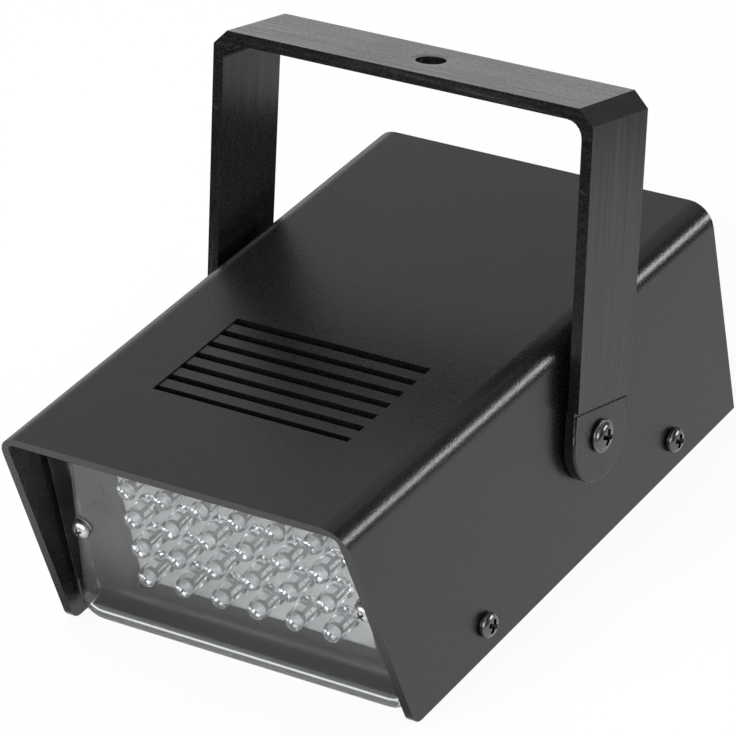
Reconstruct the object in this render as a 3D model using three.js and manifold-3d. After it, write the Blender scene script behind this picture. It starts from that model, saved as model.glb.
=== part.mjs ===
// Small strobe light: a moulded cover with a visor, a recessed clear window over 24 LEDs,
// a base tray and rear panel with the flash circuit between them, and a U-shaped hanging bracket.
// Millimetres. X runs across, -Y is the front, +Z is up, and the flat bottom lies at z = 0.

import * as THREE from 'three';
import { mergeVertices } from 'three/addons/utils/BufferGeometryUtils.js';
import Module from 'manifold-3d';

const wasm = await Module();
wasm.setup();

// Fits shared by all pieces
const clearance = 0.3;         // running and mounting gap between two pieces
const overrun = 4;             // how far a cut runs past the wall that it opens
const weldDistance = 0.0001;
const arcSteps = 6;            // straight steps in a corner as round as the cover's bend
const leastArcSteps = 2;
const roundSteps = 28;         // sides of a large round
const smallSteps = 16;         // sides of a screw, a bore or a small round
const endRoundSteps = 24;      // steps in the half round of a bracket pad

// Cover: top and two side walls in one moulding
const coverLength = 148.4;     // along the top, visor edge to back edge
const coverFrontHeight = 58.7;
const coverBackHeight = 54.6;
const coverBottomWidth = 98.9;
const sideDraft = 1.45;        // each side wall closes in by this much at the top of the back
const wall = 2.3;
const bendRadius = 6;          // outside round between the top and a side wall
const bendInnerRadius = 2;     // and the round inside it
const leastRound = 0.6;        // smallest inside round of a moulding
const visorLean = 11;          // the visor's top edge stands this far ahead of its foot
const backLean = 3.2;          // the top's back edge stands this far behind the side walls' foot
const visorFootRadius = 2.8;
const beadWidth = 1.2;         // bead on the inside of the walls that the rear panel stops against
const beadHeight = 1.2;

// Vent slots across the cover's top
const ventCount = 7;
const ventLength = 54.2;
const ventWidth = 2.05;
const ventPitch = 5.06;
const ventLastEdge = 85.9;     // from the back of the top to the last slot's back edge
const ventShift = 0.7;         // the slots sit a little to the right of the middle
const ventFieldDrop = 0.3;     // the bars between the slots lie this far below the top

// Bracket and its pivots
const pivotFromBack = 59.8;    // from the back edge of the top
const pivotHeight = 28.85;
const pivotSeatRadius = 8;
const pivotSeatProud = 0.4;    // how far the round seat stands out of the side wall
const pivotSeatInside = 0.6;   // and how far it stands into the housing
const bracketLean = 18.2;      // degrees to the back at rest
const bracketReach = 78.2;     // pivot to the outer face of the crossbar
const strapThickness = 2.9;
const crossbarThickness = 3;
const strapDepth = 22.4;       // front to back at the crossbar
const strapFootDepth = 21.3;   // front to back at the step above the pad
const strapGap = 0.4;          // the strap's inner face lies this far outside the pad's
const stepHeight = 7.7;        // pivot to the step between strap and pad
const padFaceDrop = 0.55;      // the pad's outer face lies this far inside the strap's
const padTail = 0.5;           // the pad's round end is centred this far below the pivot
const cornerBevelAcross = 3.8;
const cornerBevelAlong = 3.6;
const innerCornerRadius = 4;
const hangingHoleRadius = 3.6;
const hangingHoleShift = 0.9;  // to the right of the crossbar's middle

// Pivot screw with its washer and nut
const pivotShankRadius = 2;
const pivotHeadRadius = 4;
const pivotFlangeHeight = 0.7;
const pivotDomeRadius = 3.2;
const pivotDomeHeight = 1.3;
const pivotTail = 1.2;         // thread that shows behind the nut
const pivotWasherRadius = 4.5;
const pivotWasherThickness = 0.8;
const pivotNutFlats = 7;
const pivotNutHeight = 3.2;

// Cover screws, two on each side
const coverScrewFromFoot = [29.8, 108.3];   // behind the side walls' front foot
const coverScrewHeight = 7.4;
const coverScrewHeadRadius = 3;
const coverScrewHeadHeight = 2;
const coverScrewShankRadius = 1.5;
const coverScrewLength = 8;
const domeShoulderShare = 0.85;   // of a screw head's radius, where its dome turns over

// Clear window, a shallow tray with its open side to the back
const windowSetback = 2.3;     // behind the foot of the side walls
const frontLean = 2.6;         // degrees, the top of the window ahead of its foot
const windowThickness = 1.2;
const windowSideWall = 1.2;    // of the rim, at its sides and its top
const windowFootWall = 2.3;    // and at its foot
const windowRimDepth = 7;
const windowCornerRadius = 6.4;
const windowScrewFromSide = 9.12;   // from the cover's outer side to the screw's middle
const windowScrewHeight = 27.5;
const windowScrewHeadRadius = 2.3;
const windowScrewHeadHeight = 2;
const windowScrewShankRadius = 1.25;
const windowScrewLength = 8;
const windowScrewSink = 0.5;   // how far the window's seat sinks below its face

// Dark frame behind the window, with an opening for the LEDs
const bezelThickness = 2;
const bezelPostRadius = 2.9;   // of the screw posts, which reach forward to the window
const bezelSkirt = 1.2;        // of the skirt that lies over the foot of the window's rim
const bezelSkirtRadius = 3;    // round between the skirt and the frame
const bezelSkin = 1.8;         // wall of the short tube round the opening
const openingFromScrew = 5.1;  // from a window screw's middle to the opening's side
const openingMarginAcross = 8.5;    // from the outer LEDs' middles to the opening's sides
const openingMarginUp = 7.6;        // and to its foot and head
const openingRadius = 1.5;
const bezelSlotWidth = 1;      // a narrow slot on either side of the opening
const bezelSlotHeight = 3.2;
const bezelSlotFromTube = 0.7; // from the tube's wall to the slot's middle
const bezelSlotMiddle = 34.3;

// LEDs and their board
const ledColumns = 6;
const ledRows = 4;
const ledPitchUp = 8.3;
const ledFirstHeight = 14.7;
const ledRadius = 2.5;
const ledHeight = 8.6;
const ledFlangeRadius = 2.9;
const ledFlangeHeight = 1;
const ledSides = 12;
const ledDomeSteps = 3;
const ledTipSetback = 1.8;     // behind the window's face
const ledBoardOverlapUp = 2.9; // how far the board reaches past the opening's foot and head
const boardThickness = 1.6;

// Base tray
const trayFlangeWall = 2;
const trayFlangeHeight = 14;
const trayBackInset = 1;       // in front of the side walls' back foot
const screwPostRadius = 3.6;
const screwPostLength = 7;
const standoffRadius = 3;
const standoffHeight = 6;
const standoffBore = 1.2;
const standoffInset = 5;       // from the driver board's edges

// Rear panel with the speed control and the cable gland
const rearRecess = 3;          // behind the cover's back edges
const controlHeight = 28;      // of the speed control and the gland above the bottom
const controlSpacing = 44;     // between them
const potBodyRadius = 8;
const potBodyDepth = 8.5;
const potTabDepth = 2;
const potTabWidth = 12;
const potTabDrop = 5;
const bushingRadius = 4.5;
const bushingLength = 6.5;     // in front of the pot body
const potNutFlats = 12;
const potNutHeight = 2;
const shaftRadius = 3;
const shaftLength = 14.5;
const shaftInPot = 4;
const knobSkirtRadius = 7.5;
const knobSkirtHeight = 2.4;
const knobGripRadius = 6.4;
const knobTopRadius = 5.6;
const knobHeight = 11;
const knobFluteCount = 16;
const knobFluteDepth = 0.45;
const glandThreadRadius = 6;
const glandBoreRadius = 3.7;
const glandCollarFlats = 15;
const glandCollarHeight = 4;
const glandDomeRadius = 6.6;
const glandDomeHeight = 5;
const glandMouthRadius = 4.8;
const glandThreadLength = 9;
const glandNutFlats = 17;
const glandNutHeight = 3.5;

// Driver board and what stands on it
const driverBoardWidth = 68;
const driverBoardLength = 88;
const driverBoardFromBack = 28;   // its back edge, from the back edge of the top
const pinGap = 0.3;               // the parts stand this far off the board
const coreWidth = 34;
const coreDepth = 16;
const coreHeight = 29;
const coilWidth = 22;
const coilDepth = 28;
const coilHeight = 18;
const coilRadius = 3;
const largeCapacitorRadius = 8;
const largeCapacitorHeight = 25;
const smallCapacitorRadius = 5;
const smallCapacitorHeight = 16;
const capacitorGrooveDepth = 0.6;
const capacitorGrooveHeight = 1.2;
const transistorWidth = 10;
const transistorDepth = 4.4;
const transistorHeight = 9;
const tabThickness = 1.3;
const tabHeight = 15.5;
const tabHoleRadius = 1.8;
const chipWidth = 6.4;
const chipLength = 9.6;
const chipHeight = 3.4;
const fuseRadius = 2.6;
const fuseLength = 20;
const fuseCapLength = 5;
const fuseGlassRadius = 2.3;
const fuseClipWidth = 5;
const fuseClipThickness = 0.8;
const terminalWidth = 15;
const terminalDepth = 8;
const terminalHeight = 11;
const terminalWays = 3;
const terminalBore = 1.7;
const terminalBoreHeight = 4;
const terminalChamfer = 3;

// Leads inside the housing
const leadRadius = 1.3;
const leadSides = 8;
const leadSteps = 14;

// Sizes that follow from the driving dimensions
const frontTopY = -coverLength / 2;
const backTopY = coverLength / 2;
const frontFootY = frontTopY + visorLean;
const backFootY = backTopY - backLean;
const topSlope = (coverFrontHeight - coverBackHeight) / coverLength;
const draftSlope = sideDraft / coverBackHeight;
const insideInset = wall + clearance;
const pivotY = backTopY - pivotFromBack;
const frontY = frontFootY + windowSetback;
const frontTilt = THREE.MathUtils.degToRad(frontLean);
const rearTilt = -Math.atan2(backLean, coverBackHeight);
const windowScrewX = halfWidthAt(windowScrewHeight) - windowScrewFromSide;
const bezelFront = windowRimDepth + clearance;
const bezelBack = bezelFront + bezelThickness;
const ledBaseDepth = ledTipSetback + ledHeight;
const ledBoardFace = ledBaseDepth + clearance;
const openingWidth = 2 * (windowScrewX - openingFromScrew);
const ledFieldWidth = openingWidth - 2 * openingMarginAcross;
const ledPitchAcross = ledFieldWidth / (ledColumns - 1);
const ledFieldHeight = (ledRows - 1) * ledPitchUp;
const openingMiddle = ledFirstHeight + ledFieldHeight / 2;
const openingHeight = ledFieldHeight + 2 * openingMarginUp;
const ledBoardOverlapAcross = bezelSkin - clearance;
const ledBoardWidth = openingWidth + 2 * ledBoardOverlapAcross;
const ledBoardHeight = openingHeight + 2 * ledBoardOverlapUp;
const bezelSlotX = openingWidth / 2 + bezelSkin + bezelSlotFromTube;
const trayFrontY = frontY + windowRimDepth + clearance;
const trayBackY = backFootY - trayBackInset;
const driverBoardFoot = wall + standoffHeight + clearance;
const driverBoardTop = driverBoardFoot + boardThickness;
const partsFoot = driverBoardTop + pinGap;
const driverBoardBackY = backTopY - driverBoardFromBack;
const driverBoardMiddleY = driverBoardBackY - driverBoardLength / 2;
const seatFaceX = halfWidthAt(pivotHeight) + pivotSeatProud;
const padInnerX = seatFaceX + clearance;
const strapInnerX = padInnerX + strapGap;
const strapOuterX = strapInnerX + strapThickness;
const padOuterX = strapOuterX - padFaceDrop;
const rearPanelFace = -rearRecess;
const rearPanelInside = rearPanelFace - wall;
const potX = -controlSpacing / 2;
const glandX = controlSpacing / 2;

// Finishes
const blackMoulding = finish(0x1d1e20, 0.62, 0);
const bracketMoulding = finish(0x202124, 0.5, 0);
const darkMoulding = finish(0x2a2c2e, 0.5, 0);
const clearMoulding = finish(0xdfe6ea, 0.08, 0);
const ledEpoxy = finish(0xe8eef2, 0.1, 0);
const whiteBoard = finish(0xe6e8e6, 0.45, 0);
const greenBoard = finish(0x2c6b45, 0.5, 0);
const blackSteel = finish(0x2b2c2e, 0.35, 0.8);
const brightSteel = finish(0xc9ccd0, 0.25, 1);
const coreSteel = finish(0x6a6d70, 0.5, 0.8);
const sleeveBlue = finish(0x23364f, 0.4, 0);
const chipBlack = finish(0x17181a, 0.6, 0);
const terminalGreen = finish(0x3f8f57, 0.5, 0);
const fuseGlass = finish(0xdde4e6, 0.1, 0);
const leadJacket = finish(0x2a2a2c, 0.6, 0);

function finish(color, roughness, metalness) {
  return new THREE.MeshStandardMaterial({ color, roughness, metalness });
}

// Half the cover's outer width at a height, and the height of its top at a place along it
function halfWidthAt(z) {
  return coverBottomWidth / 2 - draftSlope * z;
}

function topAt(y) {
  return coverFrontHeight - topSlope * (y - frontTopY);
}

// Solids: a closed geometry becomes a body that can be joined and cut
function welded(geometry) {
  geometry.deleteAttribute('normal');
  geometry.deleteAttribute('uv');
  const merged = mergeVertices(geometry, weldDistance);
  const index = merged.index.array;
  const kept = [];
  for (let i = 0; i < index.length; i += 3) {
    const [a, b, c] = [index[i], index[i + 1], index[i + 2]];
    if (a !== b && b !== c && c !== a) kept.push(a, b, c);
  }
  merged.setIndex(kept);
  return merged;
}

function solid(geometry) {
  const merged = welded(geometry);
  const vertProperties = Float32Array.from(merged.attributes.position.array);
  const triVerts = Uint32Array.from(merged.index.array);
  return new wasm.Manifold(new wasm.Mesh({ numProp: 3, vertProperties, triVerts }));
}

function geometryOf(body) {
  const { vertProperties, triVerts } = body.getMesh();
  const geometry = new THREE.BufferGeometry();
  geometry.setAttribute('position', new THREE.BufferAttribute(vertProperties, 3));
  geometry.setIndex(new THREE.BufferAttribute(triVerts, 1));
  return geometry;
}

function joined(...bodies) {
  return bodies.reduce((whole, body) => whole.add(body));
}

function cutBy(body, ...tools) {
  return tools.reduce((whole, tool) => whole.subtract(tool), body);
}

// Outlines: corners [x, y, radius] in order, each rounded by an arc that touches both its sides
function outline(corners) {
  const points = [];
  corners.forEach(([x, y, radius = 0], i) => {
    const corner = new THREE.Vector2(x, y);
    if (radius <= 0) {
      points.push(corner);
      return;
    }
    const before = corners[(i + corners.length - 1) % corners.length];
    const after = corners[(i + 1) % corners.length];
    const toBefore = new THREE.Vector2(before[0] - x, before[1] - y).normalize();
    const toAfter = new THREE.Vector2(after[0] - x, after[1] - y).normalize();
    const halfAngle = Math.acos(toBefore.dot(toAfter)) / 2;
    const bisector = toBefore.clone().add(toAfter).normalize();
    const centre = corner.clone().addScaledVector(bisector, radius / Math.sin(halfAngle));
    const tangent = radius / Math.tan(halfAngle);
    const start = corner.clone().addScaledVector(toBefore, tangent).sub(centre);
    const end = corner.clone().addScaledVector(toAfter, tangent).sub(centre);
    const steps = Math.max(leastArcSteps, Math.round(arcSteps * Math.sqrt(radius / bendRadius)));
    let sweep = end.angle() - start.angle();
    if (sweep > Math.PI) sweep -= 2 * Math.PI;
    if (sweep < -Math.PI) sweep += 2 * Math.PI;
    for (let step = 0; step <= steps; step += 1) {
      const turn = sweep * step / steps;
      points.push(start.clone().rotateAround(new THREE.Vector2(), turn).add(centre));
    }
  });
  return points;
}

function rectangle(width, height, middleX, middleY, radius = 0) {
  const [left, right] = [middleX - width / 2, middleX + width / 2];
  const [low, high] = [middleY - height / 2, middleY + height / 2];
  return outline([[left, low, radius], [right, low, radius], [right, high, radius], [left, high, radius]]);
}

function hexagon(flats) {
  const radius = flats / 2 / Math.cos(Math.PI / 6);
  return Array.from({ length: 6 }, (_, i) => {
    return new THREE.Vector2(radius, 0).rotateAround(new THREE.Vector2(), i * Math.PI / 3);
  });
}

// Prisms: an outline pushed along one axis between two places
function prism(points, low, high) {
  return new THREE.ExtrudeGeometry(new THREE.Shape(points), {
    depth: high - low,
    bevelEnabled: false,
    steps: 1,
  }).translate(0, 0, low);
}

function prismAlongX(points, low, high) {
  const axes = [new THREE.Vector3(0, 1, 0), new THREE.Vector3(0, 0, 1), new THREE.Vector3(1, 0, 0)];
  return prism(points, low, high).applyMatrix4(new THREE.Matrix4().makeBasis(...axes));
}

function prismAlongY(points, low, high) {
  const axes = [new THREE.Vector3(1, 0, 0), new THREE.Vector3(0, 0, 1), new THREE.Vector3(0, -1, 0)];
  return prism(points, -high, -low).applyMatrix4(new THREE.Matrix4().makeBasis(...axes));
}

function box(width, depth, height, x, y, z) {
  return new THREE.BoxGeometry(width, depth, height).translate(x, y, z + height / 2);
}

// Turned bodies: a profile of [radius, height] from the bottom of the axis round to its top
function turned(profile, sides) {
  return new THREE.LatheGeometry(profile.map(([radius, height]) => new THREE.Vector2(radius, height)), sides);
}

function turnedUp(profile, sides) {
  return turned(profile, sides).rotateX(Math.PI / 2);
}

function rodAlongX(radius, low, high, y, z, sides = smallSteps) {
  const profile = [[0, low], [radius, low], [radius, high], [0, high]];
  return turned(profile, sides).rotateZ(-Math.PI / 2).translate(0, y, z);
}

function rodAlongY(radius, low, high, x, z, sides = smallSteps) {
  return turned([[0, low], [radius, low], [radius, high], [0, high]], sides).translate(x, 0, z);
}

function rodAlongZ(radius, low, high, x, y, sides = smallSteps) {
  return turnedUp([[0, low], [radius, low], [radius, high], [0, high]], sides).translate(x, y, 0);
}

// The cover's cross-section at a place along it, drawn inwards by an inset
function coverSection(y, inset, bottom, footRadius) {
  const top = topAt(y) - inset;
  const footHalf = halfWidthAt(bottom) - inset;
  const topHalf = halfWidthAt(top) - inset;
  const round = inset < wall ? bendRadius - inset : Math.max(bendInnerRadius + wall - inset, leastRound);
  return outline([
    [-footHalf, bottom, footRadius],
    [footHalf, bottom, footRadius],
    [topHalf, top, round],
    [-topHalf, top, round],
  ]);
}

// A body that follows the cover's walls, from in front of the visor to behind the back edges
function tunnel(inset, bottom, footRadius = 0) {
  const reach = coverLength / 2 + overrun;
  const front = coverSection(-reach, inset, bottom, footRadius);
  const back = coverSection(reach, inset, bottom, footRadius);
  const count = front.length;
  const positions = [];
  front.forEach((point) => positions.push(point.x, -reach, point.y));
  back.forEach((point) => positions.push(point.x, reach, point.y));
  const faces = [];
  for (const [a, b, c] of THREE.ShapeUtils.triangulateShape(front, [])) {
    faces.push(a, b, c, a + count, c + count, b + count);
  }
  for (let a = 0; a < count; a += 1) {
    const b = (a + 1) % count;
    faces.push(a, a + count, b, b, a + count, b + count);
  }
  const geometry = new THREE.BufferGeometry();
  geometry.setAttribute('position', new THREE.Float32BufferAttribute(positions, 3));
  geometry.setIndex(faces);
  return solid(geometry);
}

// A body set in the leaning plane of the window: y counts back from the window's face
function onFront(geometry) {
  return geometry.rotateX(frontTilt).translate(0, frontY, 0);
}

// A body set in the leaning plane of the cover's back edges: y counts back from that plane
function onRear(geometry) {
  return geometry.rotateX(rearTilt).translate(0, backFootY, 0);
}

function slab(low, high) {
  const reach = coverLength;
  return prismAlongY(rectangle(reach, reach, 0, 0), low, high);
}

function mirrored(make) {
  return [make(-1), make(1)];
}

function makeCover() {
  // the leaning edges are drawn on past the top, so that the top alone ends them
  const past = 1 + overrun / coverBackHeight;
  const side = outline([
    [frontFootY, 0, visorFootRadius],
    [backFootY, 0],
    [backFootY + backLean * past, coverBackHeight * past],
    [frontFootY - visorLean * past, coverFrontHeight * past],
  ]);
  const shell = tunnel(0, 0)
    .intersect(solid(prismAlongX(side, -coverBottomWidth, coverBottomWidth)))
    .subtract(tunnel(wall, -overrun));
  const beadFront = rearPanelFace + clearance;
  const bead = tunnel(wall / 2, insideInset)
    .subtract(tunnel(wall + beadHeight, -overrun))
    .intersect(solid(onRear(slab(beadFront, beadFront + beadWidth))));
  const seats = mirrored((sign) => {
    const inside = halfWidthAt(pivotHeight) - wall - pivotSeatInside;
    const [low, high] = sign > 0 ? [inside, seatFaceX] : [-seatFaceX, -inside];
    return solid(rodAlongX(pivotSeatRadius, low, high, pivotY, pivotHeight, roundSteps));
  });
  const reach = coverBottomWidth;
  const holes = [
    rodAlongX(pivotShankRadius + clearance, -reach, reach, pivotY, pivotHeight),
    ...coverScrewFromFoot.map((back) => {
      const radius = coverScrewShankRadius + clearance;
      return rodAlongX(radius, -reach, reach, frontFootY + back, coverScrewHeight);
    }),
  ].map(solid);
  const lastVentY = backTopY - ventLastEdge - ventWidth / 2;
  const vents = Array.from({ length: ventCount }, (_, i) => {
    const y = lastVentY - i * ventPitch;
    const slot = rectangle(ventLength, ventWidth, ventShift, y);
    return solid(prism(slot, topAt(y) - wall - overrun, topAt(y) + overrun));
  });
  const fieldLength = (ventCount - 1) * ventPitch + ventWidth;
  const fieldY = lastVentY - (ventCount - 1) * ventPitch / 2;
  const field = solid(box(ventLength, fieldLength, coverFrontHeight, ventShift, fieldY, overrun))
    .subtract(tunnel(ventFieldDrop, -overrun));
  return cutBy(joined(shell, bead, ...seats), ...holes, ...vents, field);
}

function makeBaseTray() {
  const length = trayBackY - trayFrontY;
  const middleY = (trayFrontY + trayBackY) / 2;
  const width = coverBottomWidth;
  const plate = tunnel(insideInset, 0).intersect(solid(box(width, length, wall, 0, middleY, 0)));
  const flangeFrontY = frontY + bezelBack + clearance;
  const flangeBackY = backFootY + rearPanelInside - clearance;
  const flangeLength = flangeBackY - flangeFrontY;
  const flangeMiddleY = (flangeFrontY + flangeBackY) / 2;
  const flanges = tunnel(insideInset, 0)
    .subtract(tunnel(insideInset + trayFlangeWall, -overrun))
    .intersect(solid(box(width, flangeLength, trayFlangeHeight, 0, flangeMiddleY, 0)));
  const posts = [];
  const bores = [];
  for (const back of coverScrewFromFoot) {
    const y = frontFootY + back;
    for (const sign of [-1, 1]) {
      const outer = halfWidthAt(coverScrewHeight) - insideInset - trayFlangeWall / 2;
      const inner = outer - screwPostLength;
      const ends = sign > 0 ? [inner, outer] : [-outer, -inner];
      posts.push(solid(rodAlongX(screwPostRadius, ...ends, y, coverScrewHeight)));
      const bore = sign > 0 ? [inner - overrun, width] : [-width, overrun - inner];
      bores.push(solid(rodAlongX(coverScrewShankRadius + clearance, ...bore, y, coverScrewHeight)));
    }
  }
  for (const [x, y] of standoffPlaces()) {
    posts.push(solid(rodAlongZ(standoffRadius, wall / 2, wall + standoffHeight, x, y)));
    bores.push(solid(rodAlongZ(standoffBore, wall, wall + standoffHeight + overrun, x, y)));
  }
  return cutBy(joined(plate, flanges, ...posts), ...bores);
}

function standoffPlaces() {
  const x = driverBoardWidth / 2 - standoffInset;
  const y = driverBoardLength / 2 - standoffInset;
  return [[-x, -y], [x, -y], [-x, y], [x, y]].map(([a, b]) => [a, driverBoardMiddleY + b]);
}

function makeWindow() {
  const whole = tunnel(insideInset, 0, windowCornerRadius).intersect(solid(onFront(slab(0, windowRimDepth))));
  const hollow = tunnel(insideInset + windowSideWall, windowFootWall, windowCornerRadius - windowSideWall)
    .intersect(solid(onFront(slab(windowThickness, windowRimDepth + overrun))));
  const sinks = mirrored((sign) => {
    return atWindowScrew(sign, windowScrewHeadRadius + clearance, -overrun, windowScrewSink, roundSteps);
  });
  const holes = mirrored((sign) => {
    return atWindowScrew(sign, windowScrewShankRadius + clearance, -overrun, windowRimDepth + overrun);
  });
  return cutBy(whole, hollow, ...sinks, ...holes);
}

// A rod round a window screw's axis, between two depths behind the window's face
function atWindowScrew(sign, radius, low, high, sides) {
  return solid(onFront(rodAlongY(radius, low, high, sign * windowScrewX, windowScrewHeight, sides)));
}

function makeBezel() {
  const tubeBack = ledBoardFace - clearance;
  const plate = tunnel(insideInset, wall + clearance)
    .intersect(solid(onFront(slab(bezelFront, bezelBack))));
  const tubeWidth = openingWidth + 2 * bezelSkin;
  const tubeHeight = openingHeight + 2 * bezelSkin;
  const tubeOutline = rectangle(tubeWidth, tubeHeight, 0, openingMiddle, openingRadius + bezelSkin);
  const tube = solid(onFront(prismAlongY(tubeOutline, bezelFront, tubeBack)));
  const openingOutline = rectangle(openingWidth, openingHeight, 0, openingMiddle, openingRadius);
  const opening = solid(onFront(prismAlongY(openingOutline, bezelFront - overrun, tubeBack + overrun)));
  const skirtFront = windowThickness + clearance;
  const skirtFoot = windowFootWall + clearance;
  const skirtTop = skirtFoot + bezelSkirt;
  const skirtOutline = outline([
    [skirtFront, skirtFoot],
    [bezelBack, skirtFoot],
    [bezelBack, skirtTop + bezelSkirtRadius],
    [bezelFront, skirtTop + bezelSkirtRadius],
    [bezelFront, skirtTop, bezelSkirtRadius],
    [skirtFront, skirtTop],
  ]);
  const skirtInset = insideInset + windowSideWall + clearance;
  const skirtCorner = windowCornerRadius - windowSideWall - clearance;
  const skirt = solid(onFront(prismAlongX(skirtOutline, -coverBottomWidth, coverBottomWidth)))
    .intersect(tunnel(skirtInset, skirtFoot, skirtCorner));
  const posts = mirrored((sign) => atWindowScrew(sign, bezelPostRadius, skirtFront, bezelBack, roundSteps));
  const holes = mirrored((sign) => {
    return atWindowScrew(sign, windowScrewShankRadius + clearance, 0, bezelBack + overrun);
  });
  const slots = mirrored((sign) => {
    const slot = rectangle(bezelSlotWidth, bezelSlotHeight, sign * bezelSlotX, bezelSlotMiddle);
    return solid(onFront(prismAlongY(slot, bezelFront - overrun, bezelBack + overrun)));
  });
  return cutBy(joined(plate, tube, skirt, ...posts), opening, ...holes, ...slots);
}

function makeBracket() {
  const crossbarInner = bracketReach - crossbarThickness;
  const foot = -padTail - strapFootDepth;
  const strap = outline([
    [-strapOuterX, stepHeight],
    [-strapInnerX, stepHeight],
    [-strapInnerX, crossbarInner, innerCornerRadius],
    [strapInnerX, crossbarInner, innerCornerRadius],
    [strapInnerX, stepHeight],
    [strapOuterX, stepHeight],
    [strapOuterX, bracketReach - cornerBevelAlong],
    [strapOuterX - cornerBevelAcross, bracketReach],
    [cornerBevelAcross - strapOuterX, bracketReach],
    [-strapOuterX, bracketReach - cornerBevelAlong],
  ]);
  const strapBody = solid(prismAlongY(strap, -strapDepth, strapDepth));
  const pads = mirrored((sign) => {
    const [low, high] = sign > 0 ? [padInnerX, padOuterX] : [-padOuterX, -padInnerX];
    return solid(box(high - low, strapDepth, stepHeight - foot, (low + high) / 2, 0, foot));
  });
  const flank = [
    new THREE.Vector2(-strapDepth / 2, bracketReach + overrun),
    new THREE.Vector2(-strapDepth / 2, bracketReach),
    new THREE.Vector2(-strapFootDepth / 2, stepHeight),
  ];
  for (let step = 0; step <= endRoundSteps; step += 1) {
    const turn = Math.PI * (1 + step / endRoundSteps);
    const radius = strapFootDepth / 2;
    flank.push(new THREE.Vector2(radius * Math.cos(turn), radius * Math.sin(turn) - padTail));
  }
  flank.push(new THREE.Vector2(strapFootDepth / 2, stepHeight));
  flank.push(new THREE.Vector2(strapDepth / 2, bracketReach));
  flank.push(new THREE.Vector2(strapDepth / 2, bracketReach + overrun));
  const flankBody = solid(prismAlongX(flank, -coverBottomWidth, coverBottomWidth));
  const holeEnds = [crossbarInner - overrun, bracketReach + overrun];
  const hangingHole = rodAlongZ(hangingHoleRadius, ...holeEnds, hangingHoleShift, 0, roundSteps);
  const pivotHole = rodAlongX(pivotShankRadius + clearance, -coverBottomWidth, coverBottomWidth, 0, 0);
  return cutBy(joined(strapBody, ...pads).intersect(flankBody), solid(hangingHole), solid(pivotHole));
}

// Pivot screw along +X, from its tip to its domed head, measured from the housing's middle
function makePivotScrew() {
  const seat = padOuterX + clearance;
  const tip = nutInnerX() - pivotTail;
  const dome = seat + pivotFlangeHeight;
  const top = dome + pivotDomeHeight;
  return turned([
    [0, tip],
    [pivotShankRadius, tip],
    [pivotShankRadius, seat],
    [pivotHeadRadius, seat],
    [pivotHeadRadius, dome],
    [pivotDomeRadius, dome],
    [pivotDomeRadius, dome + pivotDomeHeight / 3],
    [pivotDomeRadius * domeShoulderShare, top - pivotDomeHeight / 4],
    [pivotDomeRadius / 2, top],
    [0, top],
  ], smallSteps).rotateZ(-Math.PI / 2);
}

function washerOuterX() {
  return halfWidthAt(pivotHeight) - wall - pivotSeatInside - clearance;
}

function nutInnerX() {
  return washerOuterX() - pivotWasherThickness - clearance - pivotNutHeight;
}

function ring(outer, inner, low, high, sides = smallSteps) {
  return turned([[inner, low], [outer, low], [outer, high], [inner, high], [inner, low]], sides);
}

function makePivotWasher() {
  const high = washerOuterX();
  const bore = pivotShankRadius + clearance;
  return ring(pivotWasherRadius, bore, high - pivotWasherThickness, high).rotateZ(-Math.PI / 2);
}

function makePivotNut() {
  const low = nutInnerX();
  const blank = prismAlongX(hexagon(pivotNutFlats), low, low + pivotNutHeight);
  const bore = rodAlongX(pivotShankRadius + clearance, low - overrun, low + pivotNutHeight + overrun, 0, 0);
  return solid(blank).subtract(solid(bore));
}

// Pan-head screw along +X with the seat of its head at zero
function makeCoverScrew() {
  const radius = coverScrewHeadRadius;
  const height = coverScrewHeadHeight;
  return turned([
    [0, -coverScrewLength],
    [coverScrewShankRadius, -coverScrewLength],
    [coverScrewShankRadius, 0],
    [radius, 0],
    [radius, height / 3],
    [radius * domeShoulderShare, height - height / 4],
    [radius / 2, height],
    [0, height],
  ], smallSteps).rotateZ(-Math.PI / 2);
}

// Pan-head screw with its head towards -Y, measured from the window's face
function makeWindowScrew() {
  const seat = windowScrewSink - clearance;
  const radius = windowScrewHeadRadius;
  const top = seat - windowScrewHeadHeight;
  const tip = seat + windowScrewLength;
  return turned([
    [0, top],
    [radius / 2, top],
    [radius, top + windowScrewHeadHeight / 2],
    [radius, seat],
    [windowScrewShankRadius, seat],
    [windowScrewShankRadius, tip],
    [0, tip],
  ], smallSteps);
}

// Bullet-shaped LED, base at zero and dome towards -Y
function makeLed() {
  const domeBase = ledHeight - ledRadius;
  const profile = [];
  for (let step = 0; step <= ledDomeSteps; step += 1) {
    const turn = Math.PI / 2 * (1 - step / ledDomeSteps);
    profile.push([ledRadius * Math.cos(turn), -domeBase - ledRadius * Math.sin(turn)]);
  }
  profile.push([ledRadius, -ledFlangeHeight]);
  profile.push([ledFlangeRadius, -ledFlangeHeight]);
  profile.push([ledFlangeRadius, 0]);
  profile.push([0, 0]);
  profile[0][0] = 0;
  return turned(profile, ledSides);
}

function makeLedBoard() {
  const points = rectangle(ledBoardWidth, ledBoardHeight, 0, openingMiddle, openingRadius);
  return prismAlongY(points, ledBoardFace, ledBoardFace + boardThickness);
}

function makeRearPanel() {
  const panel = tunnel(insideInset, wall + clearance)
    .intersect(solid(onRear(slab(rearPanelInside, rearPanelFace))));
  const [low, high] = [rearPanelInside - overrun, rearPanelFace + overrun];
  const potHole = solid(onRear(rodAlongY(bushingRadius + clearance, low, high, potX, controlHeight)));
  const glandHole = solid(onRear(rodAlongY(glandThreadRadius + clearance, low, high, glandX, controlHeight)));
  return cutBy(panel, potHole, glandHole);
}

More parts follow.
